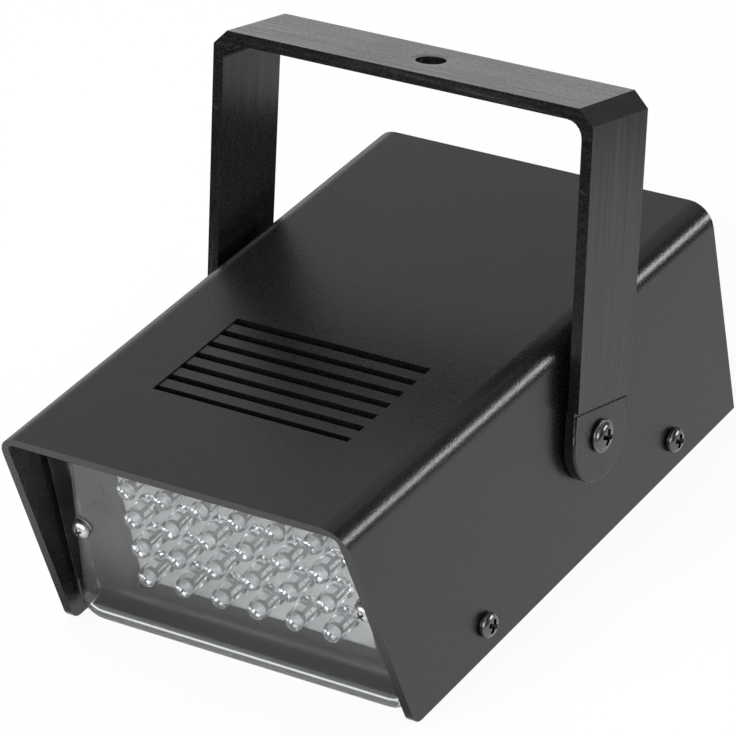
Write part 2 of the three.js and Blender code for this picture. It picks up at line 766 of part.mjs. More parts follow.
// Speed control along +Y, measured from the plane of the cover's back edges
function makePotentiometer() {
  const front = rearPanelInside - clearance;
  const body = rodAlongY(potBodyRadius, front - potBodyDepth, front, 0, 0, roundSteps);
  const bushing = rodAlongY(bushingRadius, front - overrun, front + bushingLength, 0, 0);
  const tabs = box(potTabWidth, potTabDepth, potBodyRadius + potTabDrop, 0, front - potBodyDepth / 2,
    -potBodyRadius - potTabDrop);
  const boreEnds = [shaftEnds()[0] - clearance, front + bushingLength + overrun];
  const bore = rodAlongY(shaftRadius + clearance, ...boreEnds, 0, 0);
  return cutBy(joined(solid(body), solid(bushing), solid(tabs)), solid(bore));
}

function makePotNut() {
  const low = rearPanelFace + clearance;
  const blank = prismAlongY(hexagon(potNutFlats), low, low + potNutHeight);
  const bore = rodAlongY(bushingRadius + clearance, low - overrun, low + potNutHeight + overrun, 0, 0);
  return solid(blank).subtract(solid(bore));
}

function shaftEnds() {
  const low = rearPanelInside - clearance - shaftInPot;
  return [low, low + shaftLength];
}

function knobFoot() {
  return rearPanelInside - clearance + bushingLength + clearance;
}

function makeKnob() {
  const low = knobFoot();
  const skirt = rodAlongY(knobSkirtRadius, low, low + knobSkirtHeight, 0, 0, roundSteps);
  const blank = turned([
    [0, low],
    [knobGripRadius + knobFluteDepth, low],
    [knobGripRadius + knobFluteDepth, low + knobSkirtHeight],
    [knobTopRadius + knobFluteDepth, low + knobHeight - leastRound],
    [knobTopRadius, low + knobHeight],
    [0, low + knobHeight],
  ], roundSteps);
  const fluteMiddle = knobGripRadius + knobFluteDepth;
  const flutes = Array.from({ length: knobFluteCount }, (_, i) => {
    const turn = 2 * Math.PI * i / knobFluteCount;
    const [x, z] = [fluteMiddle * Math.cos(turn), fluteMiddle * Math.sin(turn)];
    return solid(rodAlongY(2 * knobFluteDepth, low + knobSkirtHeight, low + knobHeight + overrun, x, z, 6));
  });
  const bore = rodAlongY(shaftRadius + clearance, low - overrun, shaftEnds()[1] + clearance, 0, 0);
  return cutBy(joined(cutBy(solid(blank), ...flutes), solid(skirt)), solid(bore));
}

function makeGland() {
  const seat = rearPanelFace + clearance;
  const thread = rodAlongY(glandThreadRadius, seat - glandThreadLength, seat, 0, 0, roundSteps);
  const collar = prismAlongY(hexagon(glandCollarFlats), seat, seat + glandCollarHeight);
  const domeFoot = seat + glandCollarHeight;
  const dome = turned([
    [0, domeFoot],
    [glandDomeRadius, domeFoot],
    [glandDomeRadius, domeFoot + glandDomeHeight / 2],
    [glandMouthRadius, domeFoot + glandDomeHeight],
    [0, domeFoot + glandDomeHeight],
  ], roundSteps);
  const boreEnds = [seat - glandThreadLength - overrun, domeFoot + glandDomeHeight + overrun];
  const bore = rodAlongY(glandBoreRadius, ...boreEnds, 0, 0);
  return cutBy(joined(solid(thread), solid(collar), solid(dome)), solid(bore));
}

function makeGlandNut() {
  const high = rearPanelInside - clearance;
  const low = high - glandNutHeight;
  const blank = prismAlongY(hexagon(glandNutFlats), low, high);
  const bore = rodAlongY(glandThreadRadius + clearance, low - overrun, high + overrun, 0, 0);
  return solid(blank).subtract(solid(bore));
}

function makeDriverBoard() {
  const points = rectangle(driverBoardWidth, driverBoardLength, 0, driverBoardMiddleY, openingRadius);
  const board = solid(prism(points, driverBoardFoot, driverBoardTop));
  const holes = standoffPlaces().map(([x, y]) => {
    return solid(rodAlongZ(standoffBore, driverBoardFoot - overrun, driverBoardTop + overrun, x, y));
  });
  return cutBy(board, ...holes);
}

// Laminated core with its wound coil standing through it
function makeTransformer() {
  const core = box(coreWidth, coreDepth, coreHeight, 0, 0, 0);
  const coil = prism(rectangle(coilWidth, coilDepth, 0, 0, coilRadius), 0, coilHeight)
    .translate(0, 0, (coreHeight - coilHeight) / 2);
  return joined(solid(core), solid(coil));
}

function makeCapacitor(radius, height) {
  const groove = radius - capacitorGrooveDepth;
  const grooveLow = 2 * capacitorGrooveHeight;
  return turnedUp([
    [0, 0],
    [groove, 0],
    [radius, capacitorGrooveDepth],
    [radius, grooveLow],
    [groove, grooveLow + capacitorGrooveHeight / 2],
    [radius, grooveLow + capacitorGrooveHeight],
    [radius, height - capacitorGrooveDepth],
    [groove, height],
    [0, height],
  ], smallSteps);
}

function makeTransistor() {
  const body = box(transistorWidth, transistorDepth, transistorHeight, 0, 0, 0);
  const tab = box(transistorWidth, tabThickness, tabHeight, 0, (transistorDepth - tabThickness) / 2, 0);
  const holeHeight = (transistorHeight + tabHeight) / 2;
  const hole = rodAlongY(tabHoleRadius, -transistorDepth, transistorDepth, 0, holeHeight);
  return joined(solid(body), solid(tab)).subtract(solid(hole));
}

function makeChip() {
  return box(chipWidth, chipLength, chipHeight, 0, 0, 0);
}

// Glass tube with metal end caps, held in two sprung clips
function makeFuse() {
  const axisHeight = fuseRadius + fuseClipThickness;
  const half = fuseLength / 2;
  const tube = turned([
    [0, -half],
    [fuseRadius, -half],
    [fuseRadius, fuseCapLength - half],
    [fuseGlassRadius, fuseCapLength - half],
    [fuseGlassRadius, half - fuseCapLength],
    [fuseRadius, half - fuseCapLength],
    [fuseRadius, half],
    [0, half],
  ], smallSteps).translate(0, 0, axisHeight);
  const clips = mirrored((sign) => {
    const y = sign * (half - fuseCapLength / 2);
    const width = 2 * (fuseRadius + fuseClipThickness);
    return solid(box(width, fuseClipWidth, axisHeight + fuseRadius / 2, 0, y, 0));
  });
  return joined(solid(tube), ...clips);
}

function makeTerminalBlock() {
  const side = [
    new THREE.Vector2(-terminalDepth / 2, 0),
    new THREE.Vector2(terminalDepth / 2, 0),
    new THREE.Vector2(terminalDepth / 2, terminalHeight - terminalChamfer),
    new THREE.Vector2(terminalDepth / 2 - terminalChamfer, terminalHeight),
    new THREE.Vector2(-terminalDepth / 2, terminalHeight),
  ];
  const block = solid(prismAlongX(side, -terminalWidth / 2, terminalWidth / 2));
  const pitch = terminalWidth / terminalWays;
  const ways = Array.from({ length: terminalWays }, (_, i) => {
    const x = (i + 1 / 2) * pitch - terminalWidth / 2;
    return solid(rodAlongY(terminalBore, 0, terminalDepth, x, terminalBoreHeight));
  });
  return cutBy(block, ...ways);
}

function makeLead(points) {
  const section = Array.from({ length: leadSides }, (_, i) => {
    return new THREE.Vector2(leadRadius, 0).rotateAround(new THREE.Vector2(), 2 * Math.PI * i / leadSides);
  });
  return new THREE.ExtrudeGeometry(new THREE.Shape(section), {
    extrudePath: new THREE.CatmullRomCurve3(points.map(([x, y, z]) => new THREE.Vector3(x, y, z))),
    steps: leadSteps,
    bevelEnabled: false,
  });
}

// Assembly
const strobe = new THREE.Group();
const frontGroup = new THREE.Group();
const rearGroup = new THREE.Group();
const bracketGroup = new THREE.Group();
strobe.add(frontGroup, rearGroup, bracketGroup);
frontGroup.position.set(0, frontY, 0);
frontGroup.rotation.x = frontTilt;
rearGroup.position.set(0, backFootY, 0);
rearGroup.rotation.x = rearTilt;
bracketGroup.position.set(0, pivotY, pivotHeight);
bracketGroup.rotation.x = -THREE.MathUtils.degToRad(bracketLean);

function add(parent, name, shape, material, x = 0, y = 0, z = 0) {
  const body = shape instanceof wasm.Manifold ? shape : solid(shape);
  const mesh = new THREE.Mesh(geometryOf(body), material);
  mesh.name = name;
  mesh.position.set(x, y, z);
  parent.add(mesh);
  return mesh;
}

add(strobe, 'cover', makeCover(), blackMoulding);
add(strobe, 'base_tray', makeBaseTray(), blackMoulding);
add(strobe, 'rear_panel', makeRearPanel(), blackMoulding);
add(strobe, 'front_window', makeWindow(), clearMoulding);
add(strobe, 'front_bezel', makeBezel(), darkMoulding);
add(bracketGroup, 'bracket', makeBracket(), bracketMoulding);

for (const [side, sign] of [['left', -1], ['right', 1]]) {
  const turn = sign > 0 ? 0 : Math.PI;
  const pieces = [
    ['pivot_screw', makePivotScrew(), brightSteel],
    ['pivot_washer', makePivotWasher(), brightSteel],
    ['pivot_nut', makePivotNut(), brightSteel],
  ];
  for (const [name, shape, material] of pieces) {
    add(strobe, `${name}_${side}`, shape, material, 0, pivotY, pivotHeight).rotation.z = turn;
  }
  const place = [sign * windowScrewX, 0, windowScrewHeight];
  add(frontGroup, `window_screw_${side}`, makeWindowScrew(), brightSteel, ...place);
}

coverScrewFromFoot.forEach((back, i) => {
  const seat = halfWidthAt(coverScrewHeight - coverScrewHeadRadius) + clearance;
  for (const sign of [-1, 1]) {
    const name = `cover_screw_${2 * i + (sign > 0 ? 2 : 1)}`;
    const place = [sign * seat, frontFootY + back, coverScrewHeight];
    add(strobe, name, makeCoverScrew(), blackSteel, ...place).rotation.z = sign > 0 ? 0 : Math.PI;
  }
});

add(frontGroup, 'led_board', makeLedBoard(), whiteBoard);
for (let row = 0; row < ledRows; row += 1) {
  for (let column = 0; column < ledColumns; column += 1) {
    const number = String(row * ledColumns + column + 1).padStart(2, '0');
    const x = (column - (ledColumns - 1) / 2) * ledPitchAcross;
    const z = ledFirstHeight + row * ledPitchUp;
    add(frontGroup, `led_${number}`, makeLed(), ledEpoxy, x, ledBaseDepth, z);
  }
}

const shaft = rodAlongY(shaftRadius, ...shaftEnds(), 0, 0);
add(rearGroup, 'potentiometer', makePotentiometer(), chipBlack, potX, 0, controlHeight);
add(rearGroup, 'pot_nut', makePotNut(), brightSteel, potX, 0, controlHeight);
add(rearGroup, 'pot_shaft', shaft, brightSteel, potX, 0, controlHeight);
add(rearGroup, 'speed_knob', makeKnob(), blackMoulding, potX, 0, controlHeight);
add(rearGroup, 'cable_gland', makeGland(), blackMoulding, glandX, 0, controlHeight);
add(rearGroup, 'gland_nut', makeGlandNut(), blackMoulding, glandX, 0, controlHeight);

// Places on the driver board, as shares of its half width and half length
const partPlaceShares = {
  transformer: [-0.42, 0.34],
  capacitor_1: [0.5, 0.02],
  capacitor_2: [0.62, -0.42],
  drive_transistor: [-0.55, -0.62],
  timer_chip: [-0.05, -0.3],
  fuse: [-0.72, -0.2],
  terminal_block: [0.45, 0.62],
};
const boardParts = {
  transformer: [makeTransformer(), coreSteel],
  capacitor_1: [makeCapacitor(largeCapacitorRadius, largeCapacitorHeight), sleeveBlue],
  capacitor_2: [makeCapacitor(smallCapacitorRadius, smallCapacitorHeight), sleeveBlue],
  drive_transistor: [makeTransistor(), chipBlack],
  timer_chip: [makeChip(), chipBlack],
  fuse: [makeFuse(), fuseGlass],
  terminal_block: [makeTerminalBlock(), terminalGreen],
};
add(strobe, 'driver_board', makeDriverBoard(), greenBoard);
for (const [name, [shape, material]] of Object.entries(boardParts)) {
  const [across, along] = partPlaceShares[name];
  const x = across * driverBoardWidth / 2;
  const y = driverBoardMiddleY + along * driverBoardLength / 2;
  add(strobe, name, shape, material, x, y, partsFoot);
}

// Leads inside the housing, as [back, up] from where each leaves its piece, by hand
const ledLeadX = 18;
const ledLeadHeight = 24;
const ledLeadRoute = [[0, 0], [4, 0], [9, -1.5], [13, -7]];
const potLeadRoute = [[0, 0], [-0.8, -4.2], [-6, -6.6], [-11.5, -4], [-16, -0.5], [-19, -1.5]];
const ledLeadY = frontY + ledBoardFace + boardThickness + clearance;
const potTabFoot = new THREE.Vector3(0, rearPanelInside - clearance - potBodyDepth / 2, 0);
potTabFoot.z = controlHeight - potBodyRadius - potTabDrop;
potTabFoot.applyAxisAngle(new THREE.Vector3(1, 0, 0), rearTilt);

function leadPoints(x, y, z, route) {
  const points = route.map(([back, up]) => [x, y + back, z + up]);
  return [...points, [x, points.at(-1)[1], partsFoot]];
}

const ledLeadPoints = leadPoints(ledLeadX, ledLeadY, ledLeadHeight, ledLeadRoute);
const potLeadStart = [potX, backFootY + potTabFoot.y, potTabFoot.z - clearance];
add(strobe, 'led_lead', makeLead(ledLeadPoints), leadJacket);
add(strobe, 'pot_lead', makeLead(leadPoints(...potLeadStart, potLeadRoute)), leadJacket);

// The origin lies under the middle of the whole, knob included
const bounds = new THREE.Box3().setFromObject(strobe, true);
strobe.position.y = -(bounds.min.y + bounds.max.y) / 2;

export default strobe;
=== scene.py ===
# %% [markdown]
# # A small LED strobe light, dressed in Blender
# The imported model gives every rigid piece at its real size. This file gives those pieces their
# finish, makes the ones that need finer shapes than a faceted solid has, and sets up the studio.
# First the frame is loaded, and each imported piece's placement is applied to its own mesh.

# %% Load the frame
import math

import bmesh
import bpy
from mathutils import Matrix, Vector


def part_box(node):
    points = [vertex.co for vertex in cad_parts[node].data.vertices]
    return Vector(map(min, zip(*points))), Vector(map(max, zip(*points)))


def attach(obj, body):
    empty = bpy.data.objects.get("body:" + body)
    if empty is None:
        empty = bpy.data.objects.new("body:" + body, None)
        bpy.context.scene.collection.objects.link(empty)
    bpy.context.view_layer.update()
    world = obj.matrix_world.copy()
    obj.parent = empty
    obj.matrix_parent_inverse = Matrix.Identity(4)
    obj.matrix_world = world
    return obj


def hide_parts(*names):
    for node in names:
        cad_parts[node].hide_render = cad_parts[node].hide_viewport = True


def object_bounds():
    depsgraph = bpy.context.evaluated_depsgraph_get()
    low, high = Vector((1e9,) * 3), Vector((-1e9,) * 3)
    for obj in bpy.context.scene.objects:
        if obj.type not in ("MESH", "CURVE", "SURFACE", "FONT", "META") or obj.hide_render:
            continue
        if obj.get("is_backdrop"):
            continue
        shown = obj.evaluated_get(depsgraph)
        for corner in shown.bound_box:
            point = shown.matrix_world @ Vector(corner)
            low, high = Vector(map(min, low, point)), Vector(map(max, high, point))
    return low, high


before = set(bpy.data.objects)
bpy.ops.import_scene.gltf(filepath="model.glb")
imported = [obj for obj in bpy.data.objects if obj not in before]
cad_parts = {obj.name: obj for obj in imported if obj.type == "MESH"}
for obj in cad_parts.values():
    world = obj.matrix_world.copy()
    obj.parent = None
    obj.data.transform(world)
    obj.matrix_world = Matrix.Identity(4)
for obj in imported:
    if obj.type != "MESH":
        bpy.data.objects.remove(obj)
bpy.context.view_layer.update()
MM = 0.001
scene = bpy.context.scene

# %% [markdown]
# ## The camera
# The viewing angle is given as an azimuth, an elevation and a roll, and the lens as a focal
# length in pixels of the 736-pixel picture. The light rests on its flat bottom, while the picture
# shows it tipped, so the camera is rolled instead of the object. The camera's place follows from
# where the frame's middle appears: so far right of and below the picture's middle, so far away.

# %% Camera
IMAGE_SIDE = 736
FOCAL_PIXELS = 4953.92
AZIMUTH = 40.474
ELEVATION = 32.615
ROLL = -9.923
AIM = Vector((0, -1.562, 0)) * MM
AIM_RIGHT = 8.687 * MM
AIM_BELOW = 33.467 * MM
AIM_AWAY = 1159.494 * MM


def camera_axes():
    """Right, down and forward of the camera, in the frame."""
    turn, rise, roll = (math.radians(a) for a in (AZIMUTH, ELEVATION, ROLL))
    level = Vector((-math.sin(turn), math.cos(turn), 0)) * math.cos(rise)
    forward = level - Vector((0, 0, math.sin(rise)))
    level_right = forward.cross(Vector((0, 0, 1))).normalized()
    level_down = forward.cross(level_right)
    right = level_right * math.cos(roll) - level_down * math.sin(roll)
    down = level_right * math.sin(roll) + level_down * math.cos(roll)
    return right, down, forward


def add_camera():
    right, down, forward = camera_axes()
    data = bpy.data.cameras.new("camera")
    data.sensor_width = 36
    data.lens = FOCAL_PIXELS * data.sensor_width / IMAGE_SIDE
    data.clip_start, data.clip_end = 0.05, 20
    camera = bpy.data.objects.new("camera", data)
    scene.collection.objects.link(camera)
    place = AIM - right * AIM_RIGHT - down * AIM_BELOW - forward * AIM_AWAY
    turn = Matrix((right, -down, -forward)).transposed()
    camera.matrix_world = Matrix.Translation(place) @ turn.to_4x4()
    scene.camera = camera
    return camera


camera = add_camera()
print("camera at", [round(v, 4) for v in camera.location], "lens", round(camera.data.lens, 1))

# %% [markdown]
# ## Helpers for nodes
# A recipe adds one node after another, and each socket gets a plain value or the output of an
# earlier node, written as a (node, output) pair. Small helpers keep the recipes readable.

# %% Node helpers


def join(tree, source, output, target, socket):
    tree.links.new(source.outputs[output], target.inputs[socket])


def add_node(tree, kind, values=(), **settings):
    """Adds a node; values are (socket, value or pair), settings are its own properties."""
    node = tree.nodes.new(kind)
    for name, value in settings.items():
        setattr(node, name, value)
    for socket, value in values:
        if isinstance(value, tuple) and isinstance(value[0], bpy.types.Node):
            join(tree, *value, node, socket)
        else:
            node.inputs[socket].default_value = value
    return node


def new_group(name, kind, inputs, outputs):
    """A node group with its inputs (name, kind of socket, default) and outputs (name, kind)."""
    tree = bpy.data.node_groups.new(name, kind)
    for title, socket, default in inputs:
        made = tree.interface.new_socket(title, in_out="INPUT", socket_type=f"NodeSocket{socket}")
        if default is not None:
            made.default_value = default
    for title, socket in outputs:
        tree.interface.new_socket(title, in_out="OUTPUT", socket_type=f"NodeSocket{socket}")
    return tree, tree.nodes.new("NodeGroupInput"), tree.nodes.new("NodeGroupOutput")


def math_node(tree, operation, *values):
    return add_node(tree, "ShaderNodeMath", enumerate(values), operation=operation)


def vector_node(tree, operation, *values):
    return add_node(tree, "ShaderNodeVectorMath", enumerate(values), operation=operation)


def scaled(tree, vector, factor):
    values = [(0, vector), ("Scale", factor)]
    return add_node(tree, "ShaderNodeVectorMath", values, operation="SCALE")


def choose(tree, factor, low, high):
    """A mix of two values, low where the factor is 0 and high where it is 1."""
    values = [(0, factor), (2, low), (3, high)]
    return add_node(tree, "ShaderNodeMix", values, data_type="FLOAT")


def add_range(tree, source, start, end, low=0.0, high=1.0, kind="SMOOTHSTEP"):
    """A change from low to high while the source goes from start to end."""
    values = [("Value", source), ("From Min", start), ("From Max", end), ("To Min", low),
              ("To Max", high)]
    return add_node(tree, "ShaderNodeMapRange", values, interpolation_type=kind)


def add_bump(tree, height, distance, *before):
    """A bump, laid over the one before it if there is one."""
    values = [("Height", height), ("Distance", distance), ("Strength", 1.0)]
    values += [("Normal", (bump, "Normal")) for bump in before]
    return add_node(tree, "ShaderNodeBump", values)


# %% [markdown]
# ## Effects that several finishes share
# A moulded housing has a fine spark-eroded grain from its steel mould, slow changes in tone and
# gloss, and a few specks of dust. The grain could be real geometry, but at a few tenths of a
# millimetre it is finer than the picture shows, so it is bump. Each effect is a group that reads
# Object coordinates, which are the frame's own metres, so its sizes are real ones.

# %% Grain, slow variation and streaks
GRAIN_VALUES = (0.25, 0.75)
SPECK_SPACING = 420.0
SPECK_EDGE = (0.05, 0.09)


def make_grain_group():
    tree, given, result = new_group(
        "mould grain", "ShaderNodeTree",
        [("Grain Size", "Float", 0.0003), ("Evenness", "Float", 0.5)],
        [("Height", "Float"), ("Gloss", "Float")],
    )
    place = (add_node(tree, "ShaderNodeTexCoord"), "Object")
    scale = (math_node(tree, "DIVIDE", 1.0, (given, "Grain Size")), 0)
    common = [("Vector", place), ("Scale", scale)]
    fine = add_node(tree, "ShaderNodeTexNoise", common + [("Detail", 1.0), ("Roughness", 0.5)])
    cells = add_node(tree, "ShaderNodeTexVoronoi", common + [("Randomness", 1.0)],
                     feature="SMOOTH_F1")
    mixed = choose(tree, (given, "Evenness"), (fine, "Fac"), (cells, "Distance"))
    join(tree, mixed, 0, result, "Height")
    gloss = add_range(tree, (mixed, 0), *GRAIN_VALUES, kind="LINEAR")
    join(tree, gloss, "Result", result, "Gloss")
    return tree


def make_variation_group():
    tree, given, result = new_group(
        "slow variation", "ShaderNodeTree",
        [("Patch Size", "Float", 0.03), ("Speck Amount", "Float", 0.3)],
        [("Tone", "Float"), ("Specks", "Float")],
    )
    place = (add_node(tree, "ShaderNodeTexCoord"), "Object")
    scale = (math_node(tree, "DIVIDE", 1.0, (given, "Patch Size")), 0)
    patches = add_node(tree, "ShaderNodeTexNoise", [("Vector", place), ("Scale", scale),
                                                    ("Detail", 3.0), ("Roughness", 0.55)])
    join(tree, patches, "Fac", result, "Tone")
    dust = add_node(tree, "ShaderNodeTexVoronoi", [("Vector", place), ("Scale", SPECK_SPACING),
                                                   ("Randomness", 1.0)])
    size = add_range(tree, (dust, "Distance"), *SPECK_EDGE, 1.0, 0.0, "LINEAR")
    rare = add_node(tree, "ShaderNodeSeparateColor", [("Color", (dust, "Color"))])
    chosen = math_node(tree, "LESS_THAN", (rare, "Red"), (given, "Speck Amount"))
    specks = math_node(tree, "MULTIPLY", (size, "Result"), (chosen, 0))
    join(tree, specks, 0, result, "Specks")
    return tree


def make_streak_group():
    """Fine lines along one axis, as the flow and the polish of a mould leave."""
    tree, given, result = new_group(
        "streaks", "ShaderNodeTree",
        [("Fineness", "Vector", (900.0, 900.0, 12.0)), ("Lean", "Float", 0.0)],
        [("Lines", "Float")],
    )
    place = (add_node(tree, "ShaderNodeTexCoord"), "Object")
    angle = add_node(tree, "ShaderNodeCombineXYZ", [("X", (given, "Lean"))])
    turned = add_node(tree, "ShaderNodeVectorRotate", [("Vector", place), ("Rotation", (angle, 0))],
                      rotation_type="EULER_XYZ")
    stretched = vector_node(tree, "MULTIPLY", (turned, "Vector"), (given, "Fineness"))
    lines = add_node(tree, "ShaderNodeTexNoise", [("Vector", (stretched, 0)), ("Scale", 1.0),
                                                  ("Detail", 3.0), ("Roughness", 0.6)])
    join(tree, lines, "Fac", result, "Lines")
    return tree


GRAIN = make_grain_group()
VARIATION = make_variation_group()
STREAKS = make_streak_group()
print("shared effects:", GRAIN.name, VARIATION.name, STREAKS.name)

# %% [markdown]
# ## Finishes
# A finish starts as a Principled shader with its constant values set on its own sockets. The
# shared effects then feed its colour, its roughness and its bump. One function does that for all
# opaque pieces, because a moulding, a board and a plated screw differ only in the numbers.

# %% A finish from numbers
NOISE_VALUES = (0.3, 0.7)


def new_material(name, colour, roughness, metallic=0.0, **sockets):
    material = bpy.data.materials.new(name)
    material.use_nodes = True
    shader = material.node_tree.nodes["Principled BSDF"]
    shader.inputs["Base Color"].default_value = (*colour, 1)
    shader.inputs["Roughness"].default_value = roughness
    shader.inputs["Metallic"].default_value = metallic
    for socket, value in sockets.items():
        shader.inputs[socket.replace("_", " ")].default_value = value
    return material, material.node_tree, shader


def add_group(tree, group, **values):
    node = add_node(tree, "ShaderNodeGroup", node_tree=group)
    for socket, value in values.items():
        node.inputs[socket.replace("_", " ")].default_value = value
    return node


def finish(name, colour, roughness, metallic=0.0, grain=0.0003, depth=0.00002, gloss_spread=0.08,
           tone_spread=0.15, grain_tone=0.0, patch=0.03, specks=0.1, speck_light=0.03, evenness=0.5,
           **sockets):
    """A grained finish: colour with slow tone changes and specks, uneven gloss, and bump."""
    material, tree, shader = new_material(name, colour, roughness, metallic, **sockets)
    grain_node = add_group(tree, GRAIN, Grain_Size=grain, Evenness=evenness)
    slow = add_group(tree, VARIATION, Patch_Size=patch, Speck_Amount=specks)
    spread = (1 - tone_spread, 1 + tone_spread)
    tone = add_range(tree, (slow, "Tone"), *NOISE_VALUES, *spread, "LINEAR")
    fleck = add_range(tree, (grain_node, "Gloss"), 0, 1, 1 - grain_tone, 1 + grain_tone, "LINEAR")
    together = math_node(tree, "MULTIPLY", (tone, "Result"), (fleck, "Result"))
    shade = scaled(tree, colour, (together, 0))
    speck = (*(c + speck_light for c in colour), 1)
    values = [(0, (slow, "Specks")), (6, (shade, 0)), (7, speck)]
    dusted = add_node(tree, "ShaderNodeMix", values, data_type="RGBA")
    join(tree, dusted, 2, shader, "Base Color")
    blend = math_node(tree, "MULTIPLY", (grain_node, "Gloss"), 0.5)
    slow_half = math_node(tree, "MULTIPLY", (slow, "Tone"), 0.5)
    both = math_node(tree, "ADD", (blend, 0), (slow_half, 0))
    spread = (roughness - gloss_spread, roughness + gloss_spread)
    gloss = add_range(tree, (both, 0), 0, 1, *spread, "LINEAR")
    join(tree, gloss, "Result", shader, "Roughness")
    bump = add_bump(tree, (grain_node, "Height"), depth)
    join(tree, bump, "Normal", shader, "Normal")
    return material


# %% [markdown]
# ### Black mouldings
# The housing is black ABS with a fine satin grain. Black plastic in a white studio isn't black:
# it mirrors a few percent of the white around it, so its own colour stays very dark and the
# roughness decides how it looks. The other mouldings differ from it a little in tone and gloss.

# %% Mouldings
BLACK = (0.005, 0.0053, 0.0053)
cover_finish = finish("black grained moulding", BLACK, 0.29, grain=0.00048, depth=0.000045,
                      gloss_spread=0.06, tone_spread=0.2, grain_tone=0.95, evenness=0.35)
tray_finish = finish("black tray moulding", (0.006, 0.0062, 0.0062), 0.36, grain=0.00048,
                     depth=0.00004)
bezel_finish = finish("dark bezel moulding", (0.019, 0.02, 0.021), 0.42, grain=0.0005,
                      depth=0.00001)
knob_finish = finish("black knob moulding", (0.008, 0.008, 0.009), 0.38, grain=0.0004,
                     depth=0.00001)
gland_finish = finish("black gland moulding", (0.01, 0.01, 0.011), 0.45, grain=0.0005,
                      depth=0.00001)

# %% [markdown]
# The bracket has two kinds of lines: fine ones that run along each leg, and soft waves, several
# millimetres wide, where the plastic shrank as it cooled. The crossbar has the same two, turned
# to run along it. A low dish in the surface surrounds the hanging hole. All of that is too
# shallow to model, so it is bump.

# %% Bracket finish
BRACKET_LEAN = math.radians(18.2)
PIVOT = Vector((0, 8.9275, 28.85)) * MM
STRAP_UP = Vector((0, math.sin(BRACKET_LEAN), math.cos(BRACKET_LEAN)))
STRAP_OUT = Vector((0, -math.cos(BRACKET_LEAN), math.sin(BRACKET_LEAN)))
CROSSBAR_FROM_PIVOT = 70 * MM
BAR_WAVES = 2.2
SIDEWAYS = 0.6
HOLE_X = 0.9 * MM
DISH_EDGE, DISH_DEPTH = (3.2 * MM, 5.6 * MM), 0.16 * MM
# Fineness on the legs, fineness on the crossbar, gain on the crossbar, and height of the bump
FINE_LINES = ((500.0, 500.0, 10.0), (10.0, 500.0, 500.0), 1.0, 0.00003)
SOFT_WAVES = ((150.0, 150.0, 9.0), (12.0, 170.0, 150.0), BAR_WAVES, 0.00018)


def along_strap(tree, place, origin):
    """The shaded point's offset from an origin, and how much of it lies along the strap."""
    offset = (vector_node(tree, "SUBTRACT", (place, "Object"), origin), 0)
    return offset, (vector_node(tree, "DOT_PRODUCT", offset, STRAP_UP), "Value")


def hole_dish(tree, place):
    offset, reach = along_strap(tree, place, PIVOT + Vector((HOLE_X, 0, 0)))
    axis = scaled(tree, STRAP_UP, reach)
    radial = vector_node(tree, "DISTANCE", offset, (axis, 0))
    return add_range(tree, (radial, "Value"), *DISH_EDGE)


def bracket_material():
    material = finish("bracket moulding", BLACK, 0.3, grain=0.0006, depth=0.000008,
                      gloss_spread=0.14, tone_spread=0.2, grain_tone=0.4)
    tree = material.node_tree
    shader = tree.nodes["Principled BSDF"]
    surface = next(n for n in tree.nodes if n.bl_idname == "ShaderNodeBump")
    place = add_node(tree, "ShaderNodeTexCoord")
    _, reach = along_strap(tree, place, PIVOT)
    high = add_range(tree, reach, CROSSBAR_FROM_PIVOT, CROSSBAR_FROM_PIVOT + MM)
    facing = add_node(tree, "ShaderNodeSeparateXYZ", [("Vector", (place, "Normal"))])
    sideways = math_node(tree, "ABSOLUTE", (facing, "X"))
    upward = math_node(tree, "LESS_THAN", (sideways, 0), SIDEWAYS)
    on_bar = math_node(tree, "MULTIPLY", (high, "Result"), (upward, 0))
    for leg_fineness, bar_fineness, gain, height in (FINE_LINES, SOFT_WAVES):
        on_leg = add_group(tree, STREAKS, Fineness=leg_fineness, Lean=BRACKET_LEAN)
        across = add_group(tree, STREAKS, Fineness=bar_fineness, Lean=BRACKET_LEAN)
        raised = math_node(tree, "MULTIPLY", (across, "Lines"), gain)
        chosen = choose(tree, (on_bar, 0), (on_leg, "Lines"), (raised, 0))
        surface = add_bump(tree, (chosen, 0), height, surface)
    surface = add_bump(tree, (hole_dish(tree, place), "Result"), DISH_DEPTH, surface)
    join(tree, surface, "Normal", shader, "Normal")
    return material


bracket_finish = bracket_material()

# %% [markdown]
# ### Clear parts
# The window is clear acrylic and the LEDs are clear epoxy. Both are Principled shaders with full
# transmission and a plain metallic value. They need real thickness to bend light as the real ones
# do, so both are closed solids.

# %% Clear finishes
HAZE_SHARES = (0.6, 1.4)


def clear_material(name, tint, roughness, ior, waviness, wave_size):
    material, tree, shader = new_material(name, tint, roughness, Transmission_Weight=1.0, IOR=ior)
    slow = add_group(tree, VARIATION, Patch_Size=wave_size, Speck_Amount=0.02)
    bump = add_bump(tree, (slow, "Tone"), waviness)
    join(tree, bump, "Normal", shader, "Normal")
    spread = [roughness * share for share in HAZE_SHARES]
    gloss = add_range(tree, (slow, "Tone"), *NOISE_VALUES, *spread)
    join(tree, gloss, "Result", shader, "Roughness")
    return material


# %% [markdown]
# The domes look milky where their bodies stay clear. The field leans with the window, so how far
# forward a point lies, measured along the window's own direction, tells dome from body. The
# window is clear but for the foot of its rim, which is satin as high as that wall is thick.

